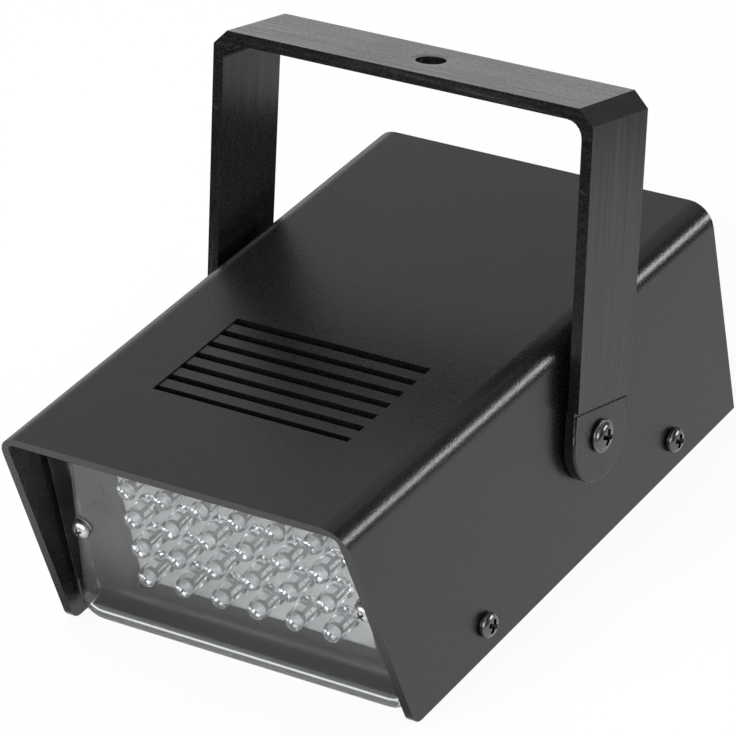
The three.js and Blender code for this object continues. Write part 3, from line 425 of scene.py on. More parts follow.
# %% LED epoxy and window acrylic
FRONT_LEAN = math.radians(2.6)
FRONT_OUT = Vector((0, -math.cos(FRONT_LEAN), -math.sin(FRONT_LEAN)))
DOME_FROM, DOME_TO = 58.5 * MM, 62.5 * MM
BODY_HAZE, DOME_HAZE = 0.08, 0.14
WINDOW_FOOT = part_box("front_window")[0][2]
FOOT_FROM, FOOT_TO = WINDOW_FOOT + 1.2 * MM, WINDOW_FOOT + 2.4 * MM
WINDOW_HAZE, FOOT_HAZE = 0.02, 0.4


def hazed_along(material, direction, *values):
    """Lets the haze follow the place along a direction: from, to, haze there and haze here."""
    tree = material.node_tree
    place = add_node(tree, "ShaderNodeTexCoord")
    depth = vector_node(tree, "DOT_PRODUCT", (place, "Object"), direction)
    haze = add_range(tree, (depth, "Value"), *values)
    join(tree, haze, "Result", tree.nodes["Principled BSDF"], "Roughness")
    return material


window_finish = hazed_along(
    clear_material("clear acrylic", (0.93, 0.95, 0.96), WINDOW_HAZE, 1.49, 0.00002, 0.03),
    (0, 0, 1), FOOT_FROM, FOOT_TO, FOOT_HAZE, WINDOW_HAZE)
epoxy_finish = hazed_along(
    clear_material("clear epoxy", (0.96, 0.97, 0.98), BODY_HAZE, 1.53, 0.00004, 0.002),
    FRONT_OUT, DOME_FROM, DOME_TO, BODY_HAZE, DOME_HAZE)
print("window foot in mm", round(WINDOW_FOOT / MM, 2))

# %% [markdown]
# ### Metals, boards and small parts
# Plated screws are metals with a light haze, with painted shade down in the cross recess. A
# screw's mesh marks those faces. The LED board is white solder mask, so it throws the light
# forward, and the driver board is the usual green.

# %% Metals and boards


def paint_recess_shade(material, share):
    """Painted shade: darkens the faces that carry the recess attribute to a share of their colour.
    """
    tree = material.node_tree
    shader = tree.nodes["Principled BSDF"]
    dusted = shader.inputs["Base Color"].links[0].from_node
    mark = add_node(tree, "ShaderNodeAttribute", attribute_name="recess")
    left = add_range(tree, (mark, "Fac"), 0, 1, 1, share, "LINEAR")
    shade = scaled(tree, (dusted, 2), (left, "Result"))
    join(tree, shade, 0, shader, "Base Color")


# Name, colour, roughness, metallic, grain size and depth of the bump
SMALL_PARTS = (
    ("dark plated steel", (0.12, 0.124, 0.124), 0.24, 0.95, 0.0004, 0.000008),
    ("zinc plated steel", (0.66, 0.67, 0.69), 0.34, 1.0, 0.0004, 0.000006),
    ("silvered lead frame", (0.82, 0.82, 0.82), 0.6, 0.7, 0.0003, 0.000004),
    ("lacquered laminations", (0.24, 0.25, 0.26), 0.45, 0.8, 0.0005, 0.00001),
    ("white solder mask", (0.88, 0.88, 0.87), 0.4, 0.0, 0.0006, 0.000005),
    ("green solder mask", (0.03, 0.16, 0.07), 0.4, 0.0, 0.0006, 0.000005),
    ("moulded epoxy", (0.02, 0.02, 0.021), 0.5, 0.0, 0.0003, 0.00001),
    ("shrink sleeve", (0.02, 0.04, 0.1), 0.35, 0.0, 0.0006, 0.000005),
    ("terminal moulding", (0.04, 0.3, 0.1), 0.4, 0.0, 0.0005, 0.000008),
    ("lead jacket", (0.02, 0.02, 0.022), 0.55, 0.0, 0.0004, 0.00001),
    ("led die", (0.85, 0.83, 0.75), 0.4, 0.0, 0.0002, 0.000002),
)
(black_steel, bright_steel, lead_metal, core_steel, white_board, green_board, chip_black,
 sleeve_blue, terminal_green, lead_jacket, die_finish) = (finish(*row) for row in SMALL_PARTS)
# Painted shade in the screws' cross recesses, deeper on the black screws than on the bright ones.
paint_recess_shade(black_steel, 0.03)
paint_recess_shade(bright_steel, 0.35)
fuse_finish = clear_material("fuse glass", (0.95, 0.97, 0.96), 0.03, 1.5, 0.00001, 0.01)
print("materials", len(bpy.data.materials))

# %% [markdown]
# ## Finer meshes for the moulded pieces
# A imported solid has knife-sharp edges, and no moulding has: its edges carry a small round that
# catches the light. A copy of the solid is merged, its flat faces are cleaned up, and a Bevel with
# weighted normals rounds every edge that is sharper than a set angle. The copy then stands for
# the solid, which stays in the motion model.

# %% Rounded copies of solids
SHARP_ANGLE = math.radians(25)
FLAT_ANGLE = math.radians(0.3)
BROAD_SEGMENTS = 6
MERGE_DISTANCE = 0.002 * MM


def put_in_scene(name, mesh, material=None):
    piece = bpy.data.objects.new(name, mesh)
    scene.collection.objects.link(piece)
    if material is not None:
        mesh.materials.clear()
        mesh.materials.append(material)
    return piece


def piece_from(shape, name, material=None):
    """Turns a bmesh into an object and frees it."""
    mesh = bpy.data.meshes.new(name)
    shape.to_mesh(mesh)
    shape.free()
    return put_in_scene(name, mesh, material)


def baked(piece):
    """Turns what the modifiers show into a plain mesh and removes the modifiers."""
    graph = bpy.context.evaluated_depsgraph_get()
    mesh = bpy.data.meshes.new_from_object(piece.evaluated_get(graph), depsgraph=graph)
    piece.modifiers.clear()
    old = piece.data
    piece.data = mesh
    bpy.data.meshes.remove(old)
    mesh.name = piece.name
    return piece


def cut_with(piece, cutter):
    cutting = piece.modifiers.new("recess", "BOOLEAN")
    cutting.object = cutter
    cutting.solver = "EXACT"
    cutting.use_self = True
    baked(piece)
    bpy.data.objects.remove(cutter, do_unlink=True)


def smooth_shaded(mesh, angle=SHARP_ANGLE):
    for polygon in mesh.polygons:
        polygon.use_smooth = True
    mesh.set_sharp_from_angle(angle=angle)


def refined(node, name, material, width, segments=3, sharp=SHARP_ANGLE, broad=(), cutter=None):
    """A rounded, smooth-shaded copy of a node; broad lists (chooser of edges, larger round)."""
    shape = bmesh.new()
    shape.from_mesh(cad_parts[node].data)
    bmesh.ops.remove_doubles(shape, verts=shape.verts, dist=MERGE_DISTANCE)
    bmesh.ops.dissolve_limit(shape, angle_limit=FLAT_ANGLE, verts=shape.verts, edges=shape.edges)
    for chooser, size in broad:
        shape.normal_update()
        edges = chooser(shape)
        print(f"{name}: {len(edges)} edges with a round of {size / MM:.1f} mm")
        bmesh.ops.bevel(shape, geom=edges, offset=size, segments=BROAD_SEGMENTS, profile=0.5,
                        affect="EDGES", clamp_overlap=True)
    piece = piece_from(shape, name, material)
    bevel = piece.modifiers.new("edge rounds", "BEVEL")
    bevel.width = width
    bevel.segments = segments
    bevel.limit_method = "ANGLE"
    bevel.angle_limit = sharp
    bevel.use_clamp_overlap = True
    bevel.miter_outer = "MITER_ARC"
    if cutter is not None:
        cut_with(baked(piece), cutter)
    smooth_shaded(piece.data)
    normals = piece.modifiers.new("even normals", "WEIGHTED_NORMAL")
    normals.keep_sharp = False
    normals.weight = 100
    return baked(piece)


def stands_for(piece, body, slot, *nodes):
    """Rides a finished piece on its body, in place of the nodes that it stands for."""
    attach(piece, body)
    if nodes:
        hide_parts(*nodes)
    faces = len(piece.data.polygons)
    print(f"{piece.name}: {faces} faces on {body}")


# %% [markdown]
# ## The housing
# The cover is one moulding, top and two sides, with a crisp but not sharp visor edge. Its long
# bends are already rounded in the solid, so only the cut edges get a round.

# %% Housing pieces
EDGE_ROUND = 0.35 * MM
for node, material, slot in (("cover", cover_finish, "black_moulding"),
                             ("base_tray", tray_finish, "black_moulding"),
                             ("rear_panel", tray_finish, "black_moulding"),
                             ("front_bezel", bezel_finish, "dark_moulding")):
    stands_for(refined(node, f"{node}_shell", material, EDGE_ROUND), "housing", slot, node)

# %% [markdown]
# The window is a shallow tray of acrylic with a broad soft rim, which is the light grey band under
# the LEDs. Only the outline of its face gets that round; the holes for the screws stay crisp.

# %% Window
WINDOW_RIM_ROUND = 1.5 * MM
WINDOW_EDGE_ROUND = 0.25 * MM
OUTLINE_HALF_WIDTH, OUTLINE_LOW, OUTLINE_HIGH = 43 * MM, 6 * MM, 50 * MM
FACE_IS_FRONT, FACE_IS_SIDE = 0.99, 0.5
FRONT_DEPTH = 0.2 * MM


def window_outline(shape):
    chosen = []
    for edge in shape.edges:
        middle = (edge.verts[0].co + edge.verts[1].co) / 2
        outer = abs(middle.x) > OUTLINE_HALF_WIDTH or not OUTLINE_LOW < middle.z < OUTLINE_HIGH
        facing = sorted(face.normal.dot(FRONT_OUT) for face in edge.link_faces)
        if outer and len(facing) == 2 and facing[1] > FACE_IS_FRONT and facing[0] < FACE_IS_SIDE:
            chosen.append(edge)
    front = max((edge.verts[0].co.dot(FRONT_OUT) for edge in chosen), default=0)
    return [edge for edge in chosen if edge.verts[0].co.dot(FRONT_OUT) > front - FRONT_DEPTH]


window = refined("front_window", "front_window_clear", window_finish, WINDOW_EDGE_ROUND,
                 broad=[(window_outline, WINDOW_RIM_ROUND)])
stands_for(window, "housing", "clear_moulding", "front_window")

# %% [markdown]
# ## The bracket
# The bracket is a plain strap with bevelled corners, so a rounded copy serves it too. Before its
# normals are evened out, a boolean cuts what a mould leaves: a groove under each step above the
# pads, the parting line along the crossbar's front, and a round pin mark on the front of each leg.

# %% Marks of the mould
STEP_FROM_PIVOT = 7.7 * MM
STEP_LINE = 0.9 * MM
STEP_LINE_DEPTH = 0.5 * MM
PARTING_FROM_PIVOT = 77.3 * MM
PARTING_LINE = 0.2 * MM
PARTING_DEPTH = 0.2 * MM
STRAP_HALF_DEPTH = 11.2 * MM
PARTING_LENGTH = 100 * MM
LEG_TAPER = 0.15 * MM
PIN_MARK_RADIUS = 1.05 * MM
PIN_MARK_DEPTH = 0.25 * MM
PIN_MARK_X, PIN_MARK_FROM_PIVOT = 51.2 * MM, 60 * MM


def in_strap(x, out, up):
    """A place given across, towards the strap's front and along it, in the frame."""
    return PIVOT + Vector((x, 0, 0)) + STRAP_OUT * out + STRAP_UP * up


def add_block(shape, middle, size):
    """A block whose sides follow the strap; size is across, front to back and along."""
    for vert in bmesh.ops.create_cube(shape, size=1.0)["verts"]:
        x, out, up = (c * s for c, s in zip(vert.co, size))
        vert.co = in_strap(middle[0] + x, middle[1] + out, middle[2] + up)


def add_disc(shape, middle, radius, depth, sides=32):
    made = bmesh.ops.create_cone(shape, cap_ends=True, segments=sides, radius1=radius,
                                 radius2=radius, depth=depth)["verts"]
    for vert in made:
        vert.co = in_strap(middle[0] + vert.co.x, middle[1] + vert.co.z, middle[2] + vert.co.y)


def pad_face():
    """How far out the pads' outer faces lie: the pad is where the pivot screw bears."""
    points = [v.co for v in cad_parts["bracket"].data.vertices]
    return max(p.x for p in points if (p - PIVOT).dot(STRAP_UP) < STEP_FROM_PIVOT - MM)


def mould_marks():
    shape = bmesh.new()
    face = pad_face()
    front_at_pin = STRAP_HALF_DEPTH - LEG_TAPER
    for side in (-1, 1):
        add_block(shape, (side * face, 0, STEP_FROM_PIVOT - STEP_LINE / 2),
                  (STEP_LINE_DEPTH * 2, STRAP_HALF_DEPTH * 3, STEP_LINE))
        add_disc(shape, (side * PIN_MARK_X, front_at_pin, PIN_MARK_FROM_PIVOT), PIN_MARK_RADIUS,
                 PIN_MARK_DEPTH * 2)
    add_block(shape, (0, STRAP_HALF_DEPTH, PARTING_FROM_PIVOT),
              (PARTING_LENGTH, PARTING_DEPTH * 2, PARTING_LINE))
    bmesh.ops.recalc_face_normals(shape, faces=shape.faces)
    return piece_from(shape, "mould_marks")


# %% [markdown]
# The pads' outline has a broader round than the strap's edges, and it shows as a pale rim.

# %% Bracket
PAD_ROUND = 0.6 * MM
STRAP_ROUND = 0.35 * MM
PIVOT_BORE_REACH = 6 * MM
ON_FACE, AT_STEP = 0.02 * MM, 0.05 * MM


def pad_outline(shape):
    """The edges round the outer face of each pad, without those of its bore or at the step."""
    face = pad_face()
    chosen = []
    for edge in shape.edges:
        ends = [vert.co for vert in edge.verts]
        offsets = [end - PIVOT for end in ends]
        past_step = [offset.dot(STRAP_UP) - STEP_FROM_PIVOT for offset in offsets]
        on_face = all(abs(abs(end.x) - face) < ON_FACE for end in ends)
        outside = all(offset.yz.length > PIVOT_BORE_REACH for offset in offsets)
        level = all(abs(past) < AT_STEP for past in past_step)
        if on_face and outside and max(past_step) < AT_STEP and not level:
            if edge.calc_face_angle(0) > SHARP_ANGLE:
                chosen.append(edge)
    return chosen


bracket = refined("bracket", "bracket_strap", bracket_finish, STRAP_ROUND,
                  broad=[(pad_outline, PAD_ROUND)], cutter=mould_marks())
stands_for(bracket, "bracket", "bracket_moulding", "bracket")

# %% [markdown]
# ## Screws
# All screws have a cross recess. One screw of each kind is turned from a profile, and the recess
# is cut by a boolean with a tapered cross. Geometry Nodes then set a copy on each point of a small
# mesh that holds the screws' places and the way each faces, with its own small random turn of the
# cross, because no two screws stop at quite the same angle.

# %% Turning helpers


def add_ring(shape, radius, height, sides):
    """A ring of points about Z, or one point where the radius is 0."""
    if radius <= 0:
        return [shape.verts.new((0, 0, height))]
    angles = (2 * math.pi * i / sides for i in range(sides))
    return [shape.verts.new((radius * math.cos(a), radius * math.sin(a), height)) for a in angles]


def add_wall(shape, low, high, sides):
    for i in range(sides):
        j = (i + 1) % sides
        foot = (low[0],) if len(low) == 1 else (low[i], low[j])
        head = (high[0],) if len(high) == 1 else (high[j], high[i])
        shape.faces.new(foot + head)


def turned(name, profile, sides, material):
    """A closed piece from (radius, height) points, turned about Z from the foot to the top."""
    shape = bmesh.new()
    rings = [add_ring(shape, radius, height, sides) for radius, height in profile]
    for low, high in zip(rings, rings[1:]):
        add_wall(shape, low, high, sides)
    bmesh.ops.recalc_face_normals(shape, faces=shape.faces)
    return piece_from(shape, name, material)


def arc_points(middle, radius, start, end, steps):
    """Points of an arc in a profile, between two angles in degrees."""
    angles = (math.radians(start + (end - start) * i / steps) for i in range(steps + 1))
    return [(middle[0] + radius * math.cos(a), middle[1] + radius * math.sin(a)) for a in angles]


def dome_points(radius, foot, top, steps=10):
    """Points of half an ellipse from near its foot to the top of the axis."""
    dome = arc_points((0, 0), 1, 0, 90, steps)[1:-1]
    points = [(radius * across, foot + (top - foot) * up) for across, up in dome]
    return points + [(0, top)]


# %% [markdown]
# The cutter is two crossed bars and a square core turned by 45 degrees, all narrower at the tip
# of the recess. It reaches a little out of the head, so that the boolean cuts clean through the
# dome. Its turn is the one that the crosses have in the picture.

# %% Cross recesses
SIDES = 48
CROSS_TURN = math.radians(-35)
CUTTER_OVERRUN = 0.1 * MM
# Share of the reach or the width, at the mouth of the recess and at its tip
ARM_REACH_SHARES, ARM_WIDTH_SHARES, CORE_SHARES = (1.0, 0.5), (1.0, 0.7), (1.45, 0.9)
FLOOR_DEPTH_SHARE = 0.9
FLOOR_IS_LEVEL = 0.9
TURNED_SHARP = math.radians(35)


def add_tapered_bar(shape, lengths, widths, heights, turn):
    """A bar through the axis; each size is given at the mouth and at the tip."""
    made = bmesh.ops.create_cube(shape, size=1.0)["verts"]
    for vert in made:
        at = 0 if vert.co.z > 0 else 1
        vert.co = Vector((vert.co.x * lengths[at], vert.co.y * widths[at], heights[at]))
    bmesh.ops.rotate(shape, verts=made, cent=(0, 0, 0), matrix=Matrix.Rotation(turn, 3, "Z"))


def cross_cutter(name, reach, width, depth, top):
    shape = bmesh.new()
    heights = (top + CUTTER_OVERRUN, top - depth)
    lengths = [2 * reach * share for share in ARM_REACH_SHARES]
    widths = [width * share for share in ARM_WIDTH_SHARES]
    for turn in (0, math.pi / 2):
        add_tapered_bar(shape, lengths, widths, heights, turn)
    sides = [width * share for share in CORE_SHARES]
    add_tapered_bar(shape, sides, sides, heights, math.pi / 4)
    cutter = piece_from(shape, name)
    cutter.data.transform(Matrix.Rotation(CROSS_TURN, 4, "Z"))
    return cutter


def mark_recess(mesh, reach, floor):
    """Marks the faces inside the cross, which get painted shade: its walls face the screw's axis,
    and its floor lies low.
    """
    mark = mesh.attributes.new("recess", "FLOAT", "FACE")
    for face, slot in zip(mesh.polygons, mark.data):
        place, facing = face.center, face.normal
        wall = place.z > 0 and facing.xy.dot(place.xy) < 0
        level = facing.z > FLOOR_IS_LEVEL and place.xy.length < reach
        slot.value = float(wall or (level and 0 < place.z < floor))
    print(mesh.name, "faces in the recess", sum(slot.value > 0 for slot in mark.data))


def cross_screw(name, profile, reach, width, depth, material):
    top = max(height for _, height in profile)
    screw = turned(name, profile, SIDES, material)
    cut_with(screw, cross_cutter(f"{name}_cross", reach, width, depth, top))
    mark_recess(screw.data, reach, top - FLOOR_DEPTH_SHARE * depth)
    smooth_shaded(screw.data, TURNED_SHARP)
    return screw


# %% [markdown]
# The tree turns each copy to its point's facing and then about that by a small random angle. It
# makes the copies real, because the finished piece has to be a plain mesh.

# %% The tree that sets pieces on points


def make_setting_tree():
    """Instances one object on points that carry their facing and their turn."""
    tree, given, result = new_group(
        "set on points", "GeometryNodeTree",
        [("Points", "Geometry", None), ("Piece", "Object", None),
         ("Loose Turn", "Float", 0.0), ("Seed", "Int", 7),
         ("Finish", "Material", None)],
        [("Geometry", "Geometry")],
    )
    piece = add_node(tree, "GeometryNodeObjectInfo",
                     [("As Instance", True), ("Object", (given, "Piece"))])
    facing = add_node(tree, "GeometryNodeInputNamedAttribute", [("Name", "facing")],
                      data_type="FLOAT_VECTOR")
    aligned = add_node(tree, "FunctionNodeAlignRotationToVector",
                       [("Vector", (facing, "Attribute"))], axis="Z")
    low = math_node(tree, "MULTIPLY", (given, "Loose Turn"), -1.0)
    values = [(2, (low, 0)), (3, (given, "Loose Turn")), ("Seed", (given, "Seed"))]
    spin = add_node(tree, "FunctionNodeRandomValue", values, data_type="FLOAT")
    about = add_node(tree, "ShaderNodeCombineXYZ", [("Z", (spin, 1))])
    values = [("Rotation", (aligned, "Rotation")), ("Rotate By", (about, 0))]
    turn = add_node(tree, "FunctionNodeRotateRotation", values, rotation_space="LOCAL")
    placed = add_node(tree, "GeometryNodeInstanceOnPoints",
                      [("Points", (given, "Points")), ("Instance", (piece, "Geometry")),
                       ("Rotation", (turn, "Rotation"))])
    real = add_node(tree, "GeometryNodeRealizeInstances", [("Geometry", (placed, "Instances"))])
    coated = add_node(tree, "GeometryNodeSetMaterial",
                      [("Geometry", (real, "Geometry")), ("Material", (given, "Finish"))])
    join(tree, coated, "Geometry", result, "Geometry")
    return tree


SETTING = make_setting_tree()


def set_on_points(name, piece, places, material, loose_turn, seed):
    """One mesh with a copy of the piece at each (place, facing), and the piece removed."""
    mesh = bpy.data.meshes.new(name)
    mesh.from_pydata([place for place, _ in places], [], [])
    facing = mesh.attributes.new("facing", "FLOAT_VECTOR", "POINT")
    for slot, (_, direction) in zip(facing.data, places):
        slot.vector = direction
    result = put_in_scene(name, mesh)
    modifier = result.modifiers.new("copies", "NODES")
    modifier.node_group = SETTING
    values = {"Piece": piece, "Loose Turn": loose_turn, "Seed": seed, "Finish": material}
    for item in SETTING.interface.items_tree:
        if item.in_out == "INPUT" and item.name in values:
            modifier[item.identifier] = values[item.name]
    baked(result)
    bpy.data.objects.remove(piece, do_unlink=True)
    if "facing" in result.data.attributes:
        result.data.attributes.remove(result.data.attributes["facing"])
    smooth_shaded(result.data, TURNED_SHARP)
    return result


def middle_of(node):
    low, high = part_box(node)
    return (Vector(low) + Vector(high)) / 2


def side_places(nodes, head_height):
    """Where the heads of screws in the side walls sit, and that each faces outwards."""
    places = []
    for node in nodes:
        low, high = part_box(node)
        middle = middle_of(node)
        side = 1 if middle.x > 0 else -1
        middle.x = (high[0] if side > 0 else low[0]) - side * head_height
        places.append((middle, Vector((side, 0, 0))))
    return places


def set_screws(kind, profile, cross, plating, nodes, places, loose_turn, seed):
    """Makes one screw and sets a copy in the place of each node."""
    material, slot = plating
    screw = cross_screw(kind, profile, *cross, material)
    piece = set_on_points(f"{kind}s", screw, places, material, loose_turn, seed)
    stands_for(piece, "housing", slot, *nodes)


# %% [markdown]
# The cover screws have pan heads: a short straight edge under a low dome.

# %% Cover screws
BLACK_PLATING, BRIGHT_PLATING = (black_steel, "black_steel"), (bright_steel, "bright_steel")
LOOSE_TURN = 0.12
COVER_HEAD = 3.0 * MM
COVER_HEAD_HEIGHT = 2.0 * MM
COVER_SHANK = 1.5 * MM
COVER_LENGTH = 8 * MM
COVER_CROSS = (1.9 * MM, 1.15 * MM, 1.6 * MM)
PAN_EDGE_SHARE = 0.3


def pan_profile(head, height, shank, length):
    edge = PAN_EDGE_SHARE * height
    points = [(0, -length), (shank, -length), (shank, 0), (head, 0), (head, edge)]
    return points + dome_points(head, edge, height)


nodes = [f"cover_screw_{i}" for i in range(1, 5)]
profile = pan_profile(COVER_HEAD, COVER_HEAD_HEIGHT, COVER_SHANK, COVER_LENGTH)
places = side_places(nodes, COVER_HEAD_HEIGHT)
set_screws("cover_screw", profile, COVER_CROSS, BLACK_PLATING, nodes, places, LOOSE_TURN, 11)

# %% [markdown]
# The pivot screws have a wider flange under a low dome, because they press on the bracket's pads.

# %% Pivot screws
PIVOT_FLANGE = 4.0 * MM
PIVOT_FLANGE_HEIGHT = 0.7 * MM
PIVOT_DOME = 3.2 * MM
PIVOT_DOME_HEIGHT = 1.3 * MM
PIVOT_TOP = PIVOT_FLANGE_HEIGHT + PIVOT_DOME_HEIGHT
PIVOT_SHANK = 2.0 * MM
PIVOT_CROSS = (2.2 * MM, 1.15 * MM, 1.6 * MM)
FLANGE_ROUND, FLANGE_CHAMFER = 0.3 * MM, 0.1 * MM
DOME_FILLET_ACROSS, DOME_FILLET_UP = 0.1 * MM, 0.12 * MM


def pivot_profile(length):
    points = [(0, -length), (PIVOT_SHANK, -length), (PIVOT_SHANK, 0),
              (PIVOT_FLANGE - FLANGE_CHAMFER, 0)]
    middle = (PIVOT_FLANGE - FLANGE_ROUND, PIVOT_FLANGE_HEIGHT - FLANGE_ROUND)
    points += arc_points(middle, FLANGE_ROUND, 0, 90, 4)
    foot = PIVOT_FLANGE_HEIGHT + DOME_FILLET_UP
    points += [(PIVOT_DOME + DOME_FILLET_ACROSS, PIVOT_FLANGE_HEIGHT), (PIVOT_DOME, foot)]
    return points + dome_points(PIVOT_DOME, foot, PIVOT_TOP)


nodes = ["pivot_screw_left", "pivot_screw_right"]
low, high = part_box(nodes[0])
profile = pivot_profile(high[0] - low[0] - PIVOT_TOP)
places = side_places(nodes, PIVOT_TOP)
set_screws("pivot_screw", profile, PIVOT_CROSS, BLACK_PLATING, nodes, places, LOOSE_TURN, 5)

# %% [markdown]
# The window is held by two small bright screws that face the front and lean with it.

# %% Window screws
WINDOW_HEAD = 2.3 * MM
WINDOW_HEAD_HEIGHT = 2.0 * MM
WINDOW_SHANK = 1.25 * MM
WINDOW_LENGTH = 8 * MM
WINDOW_CROSS = (1.25 * MM, 0.6 * MM, 1.2 * MM)

nodes = ["window_screw_left", "window_screw_right"]
profile = pan_profile(WINDOW_HEAD, WINDOW_HEAD_HEIGHT, WINDOW_SHANK, WINDOW_LENGTH)
seat_ahead = FRONT_OUT * ((WINDOW_LENGTH - WINDOW_HEAD_HEIGHT) / 2)
places = [(middle_of(node) + seat_ahead, FRONT_OUT) for node in nodes]
set_screws("window_screw", profile, WINDOW_CROSS, BRIGHT_PLATING, nodes, places, math.pi, 3)

# %% [markdown]
# ## The LEDs
# A 5 mm LED is a bullet of clear epoxy round a stamped lead frame: a post with a small reflector
# cup, the chip in the cup, and a second post beside it. Seen from the front, the dome magnifies
# the cup into a bright ring, so the inside is modelled and not painted.

# %% One LED
LED_RADIUS = 2.5 * MM
LED_HEIGHT = 8.6 * MM
LED_FLANGE = 2.9 * MM
LED_FLANGE_HEIGHT = 1.0 * MM
FLANGE_EDGE = 0.15 * MM
DIE_RADIUS, DIE_HEIGHT, DIE_FLATNESS = 0.42 * MM, 5.15 * MM, 0.45
# In mm: radius and height up and down the cup; then place, width, depth, foot and head of a post
CUP_PROFILE = ((0.5, 4.3), (0.95, 4.7), (1.2, 5.7), (1.1, 5.7), (0.5, 5.0))
POSTS = ((0.0, 0.4, 0.4, 0.2, 4.35), (1.7, 0.4, 0.4, 0.2, 5.0), (-0.5, 1.5, 0.3, 1.3, 2.0))
LENS_SIDES, CUP_SIDES = 40, 24


def led_lens():
    dome_foot = LED_HEIGHT - LED_RADIUS
    profile = [(0, 0), (LED_FLANGE, 0), (LED_FLANGE, LED_FLANGE_HEIGHT - FLANGE_EDGE),
               (LED_FLANGE - FLANGE_EDGE, LED_FLANGE_HEIGHT),
               (LED_RADIUS + FLANGE_EDGE, LED_FLANGE_HEIGHT),
               (LED_RADIUS, LED_FLANGE_HEIGHT + FLANGE_EDGE), (LED_RADIUS, dome_foot)]
    profile += dome_points(LED_RADIUS, dome_foot, LED_HEIGHT, 12)
    return turned("led_lens", profile, LENS_SIDES, epoxy_finish)


def led_frame():
    """Cup post and bond post, as stamped from thin silvered strip."""
    shape = bmesh.new()
    rings = [add_ring(shape, radius * MM, height * MM, CUP_SIDES) for radius, height in CUP_PROFILE]
    shape.faces.new(list(reversed(rings[0])))
    for low, high in zip(rings, rings[1:]):
        add_wall(shape, low, high, CUP_SIDES)
    shape.faces.new(rings[-1])
    for x, width, depth, foot, head in POSTS:
        for vert in bmesh.ops.create_cube(shape, size=1.0)["verts"]:
            across, along, up = vert.co
            up = (foot + head) / 2 + up * (head - foot)
            vert.co = Vector((x + across * width, along * depth, up)) * MM
    bmesh.ops.recalc_face_normals(shape, faces=shape.faces)
    return piece_from(shape, "led_frame", lead_metal)


def led_die():
    shape = bmesh.new()
    bmesh.ops.create_uvsphere(shape, u_segments=16, v_segments=8, radius=DIE_RADIUS)
    for vert in shape.verts:
        vert.co.z = vert.co.z * DIE_FLATNESS + DIE_HEIGHT
    return piece_from(shape, "led_die", die_finish)


# %% [markdown]
# Geometry Nodes lay each of the LED's pieces over the field of six columns and four rows. A lead
# frame and its die turn together, by a little in either direction.

# %% The field of LEDs
LED_NODES = [f"led_{i:02d}" for i in range(1, 25)]
FRAME_TURN, FRAME_SEED = 0.25, 21


def led_field():
    places = [(middle_of(node) - FRONT_OUT * (LED_HEIGHT / 2), FRONT_OUT) for node in LED_NODES]
    lenses = set_on_points("led_lenses", led_lens(), places, epoxy_finish, 0.0, 1)
    stands_for(lenses, "housing", "led_epoxy", *LED_NODES)
    frames = set_on_points("led_frames", led_frame(), places, lead_metal, FRAME_TURN, FRAME_SEED)
    stands_for(frames, "housing", "bright_steel")
    dies = set_on_points("led_dies", led_die(), places, die_finish, FRAME_TURN, FRAME_SEED)
    stands_for(dies, "housing", "led_epoxy")


led_field()

# %% [markdown]
# ## The rear controls
# The knob and the gland keep their solids' shapes, with small rounds on their edges.

# %% Rear controls
SMALL_ROUND = 0.15 * MM
SMALL_SHARP = math.radians(40)
for node, body, material in (("speed_knob", "speed_control", knob_finish),
                             ("cable_gland", "housing", gland_finish)):
    piece = refined(node, f"{node}_moulding", material, SMALL_ROUND, 2, SMALL_SHARP)
    stands_for(piece, body, "black_moulding", node)

# %% [markdown]
# The pieces inside keep their solids, because nothing shows more of them than a glimpse, and so
# do the small nuts at the back. They only get the finish of what they are.

# %% Finishes of the pieces that keep their solids
KEPT = (
    (white_board, ["led_board"]),
    (green_board, ["driver_board"]),
    (core_steel, ["transformer"]),
    (sleeve_blue, ["capacitor_1", "capacitor_2"]),
    (chip_black, ["drive_transistor", "timer_chip", "potentiometer"]),
    (fuse_finish, ["fuse"]),
    (terminal_green, ["terminal_block"]),
    (bright_steel, ["pot_nut", "pot_shaft", "pivot_washer_left", "pivot_washer_right",
                    "pivot_nut_left", "pivot_nut_right"]),
    (gland_finish, ["gland_nut"]),
    (lead_jacket, ["led_lead", "pot_lead"]),
)
for material, nodes in KEPT:
    for node in nodes:
        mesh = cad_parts[node].data
        mesh.materials.clear()
        mesh.materials.append(material)
print("kept solids", sum(len(nodes) for _, nodes in KEPT))

# %% [markdown]
# ## The studio
# The picture is a cut-out on white. The floor is a small white table top: the camera and glossy
# surfaces see it white, and only a faint shadow stays. Round it the room is grey above, dark in
# front and behind at eye level, and has a white card at the back left and one towards the camera,
# because a black housing shows hardly anything but what it mirrors. The second card shows mostly
# in the LED domes and the screws.

# %% Floor
FLOOR_REACH = 0.36
FLOOR_SHADOW_SHARE = 0.1
MIRRORED_REACH = (0.19, 0.28)
# A painted shadow on the floor just before the window, which only glossy surfaces see.
FRONT_EDGE = -70 * MM
FRONT_SHADE_REACH = 24 * MM
FRONT_SHADE = 0.3
FLOOR_WHITE = 0.95
# Painted shade: seen through clear parts, the floor is much darker, as if in the shadow under the
# window.
FLOOR_SHADE_THROUGH_CLEAR = 0.3
FLOOR_SINK = -0.05 * MM


def mirrored_floor(tree):
    """How white the floor is in glossy surfaces: a disc of light, with a painted shadow just before
    the window.
    """
    place = (add_node(tree, "ShaderNodeTexCoord"), "Object")
    away = vector_node(tree, "LENGTH", place)
    disc = add_range(tree, (away, "Value"), *MIRRORED_REACH, 1.0, 0.0)
    parts = add_node(tree, "ShaderNodeSeparateXYZ", [("Vector", place)])
    shade_from = FRONT_EDGE - FRONT_SHADE_REACH
    front = add_range(tree, (parts, "Y"), shade_from, FRONT_EDGE, 1.0, FRONT_SHADE)
    behind = math_node(tree, "GREATER_THAN", (parts, "Y"), FRONT_EDGE)
    shade = math_node(tree, "MAXIMUM", (front, "Result"), (behind, 0))
    return math_node(tree, "MULTIPLY", (disc, "Result"), (shade, 0))


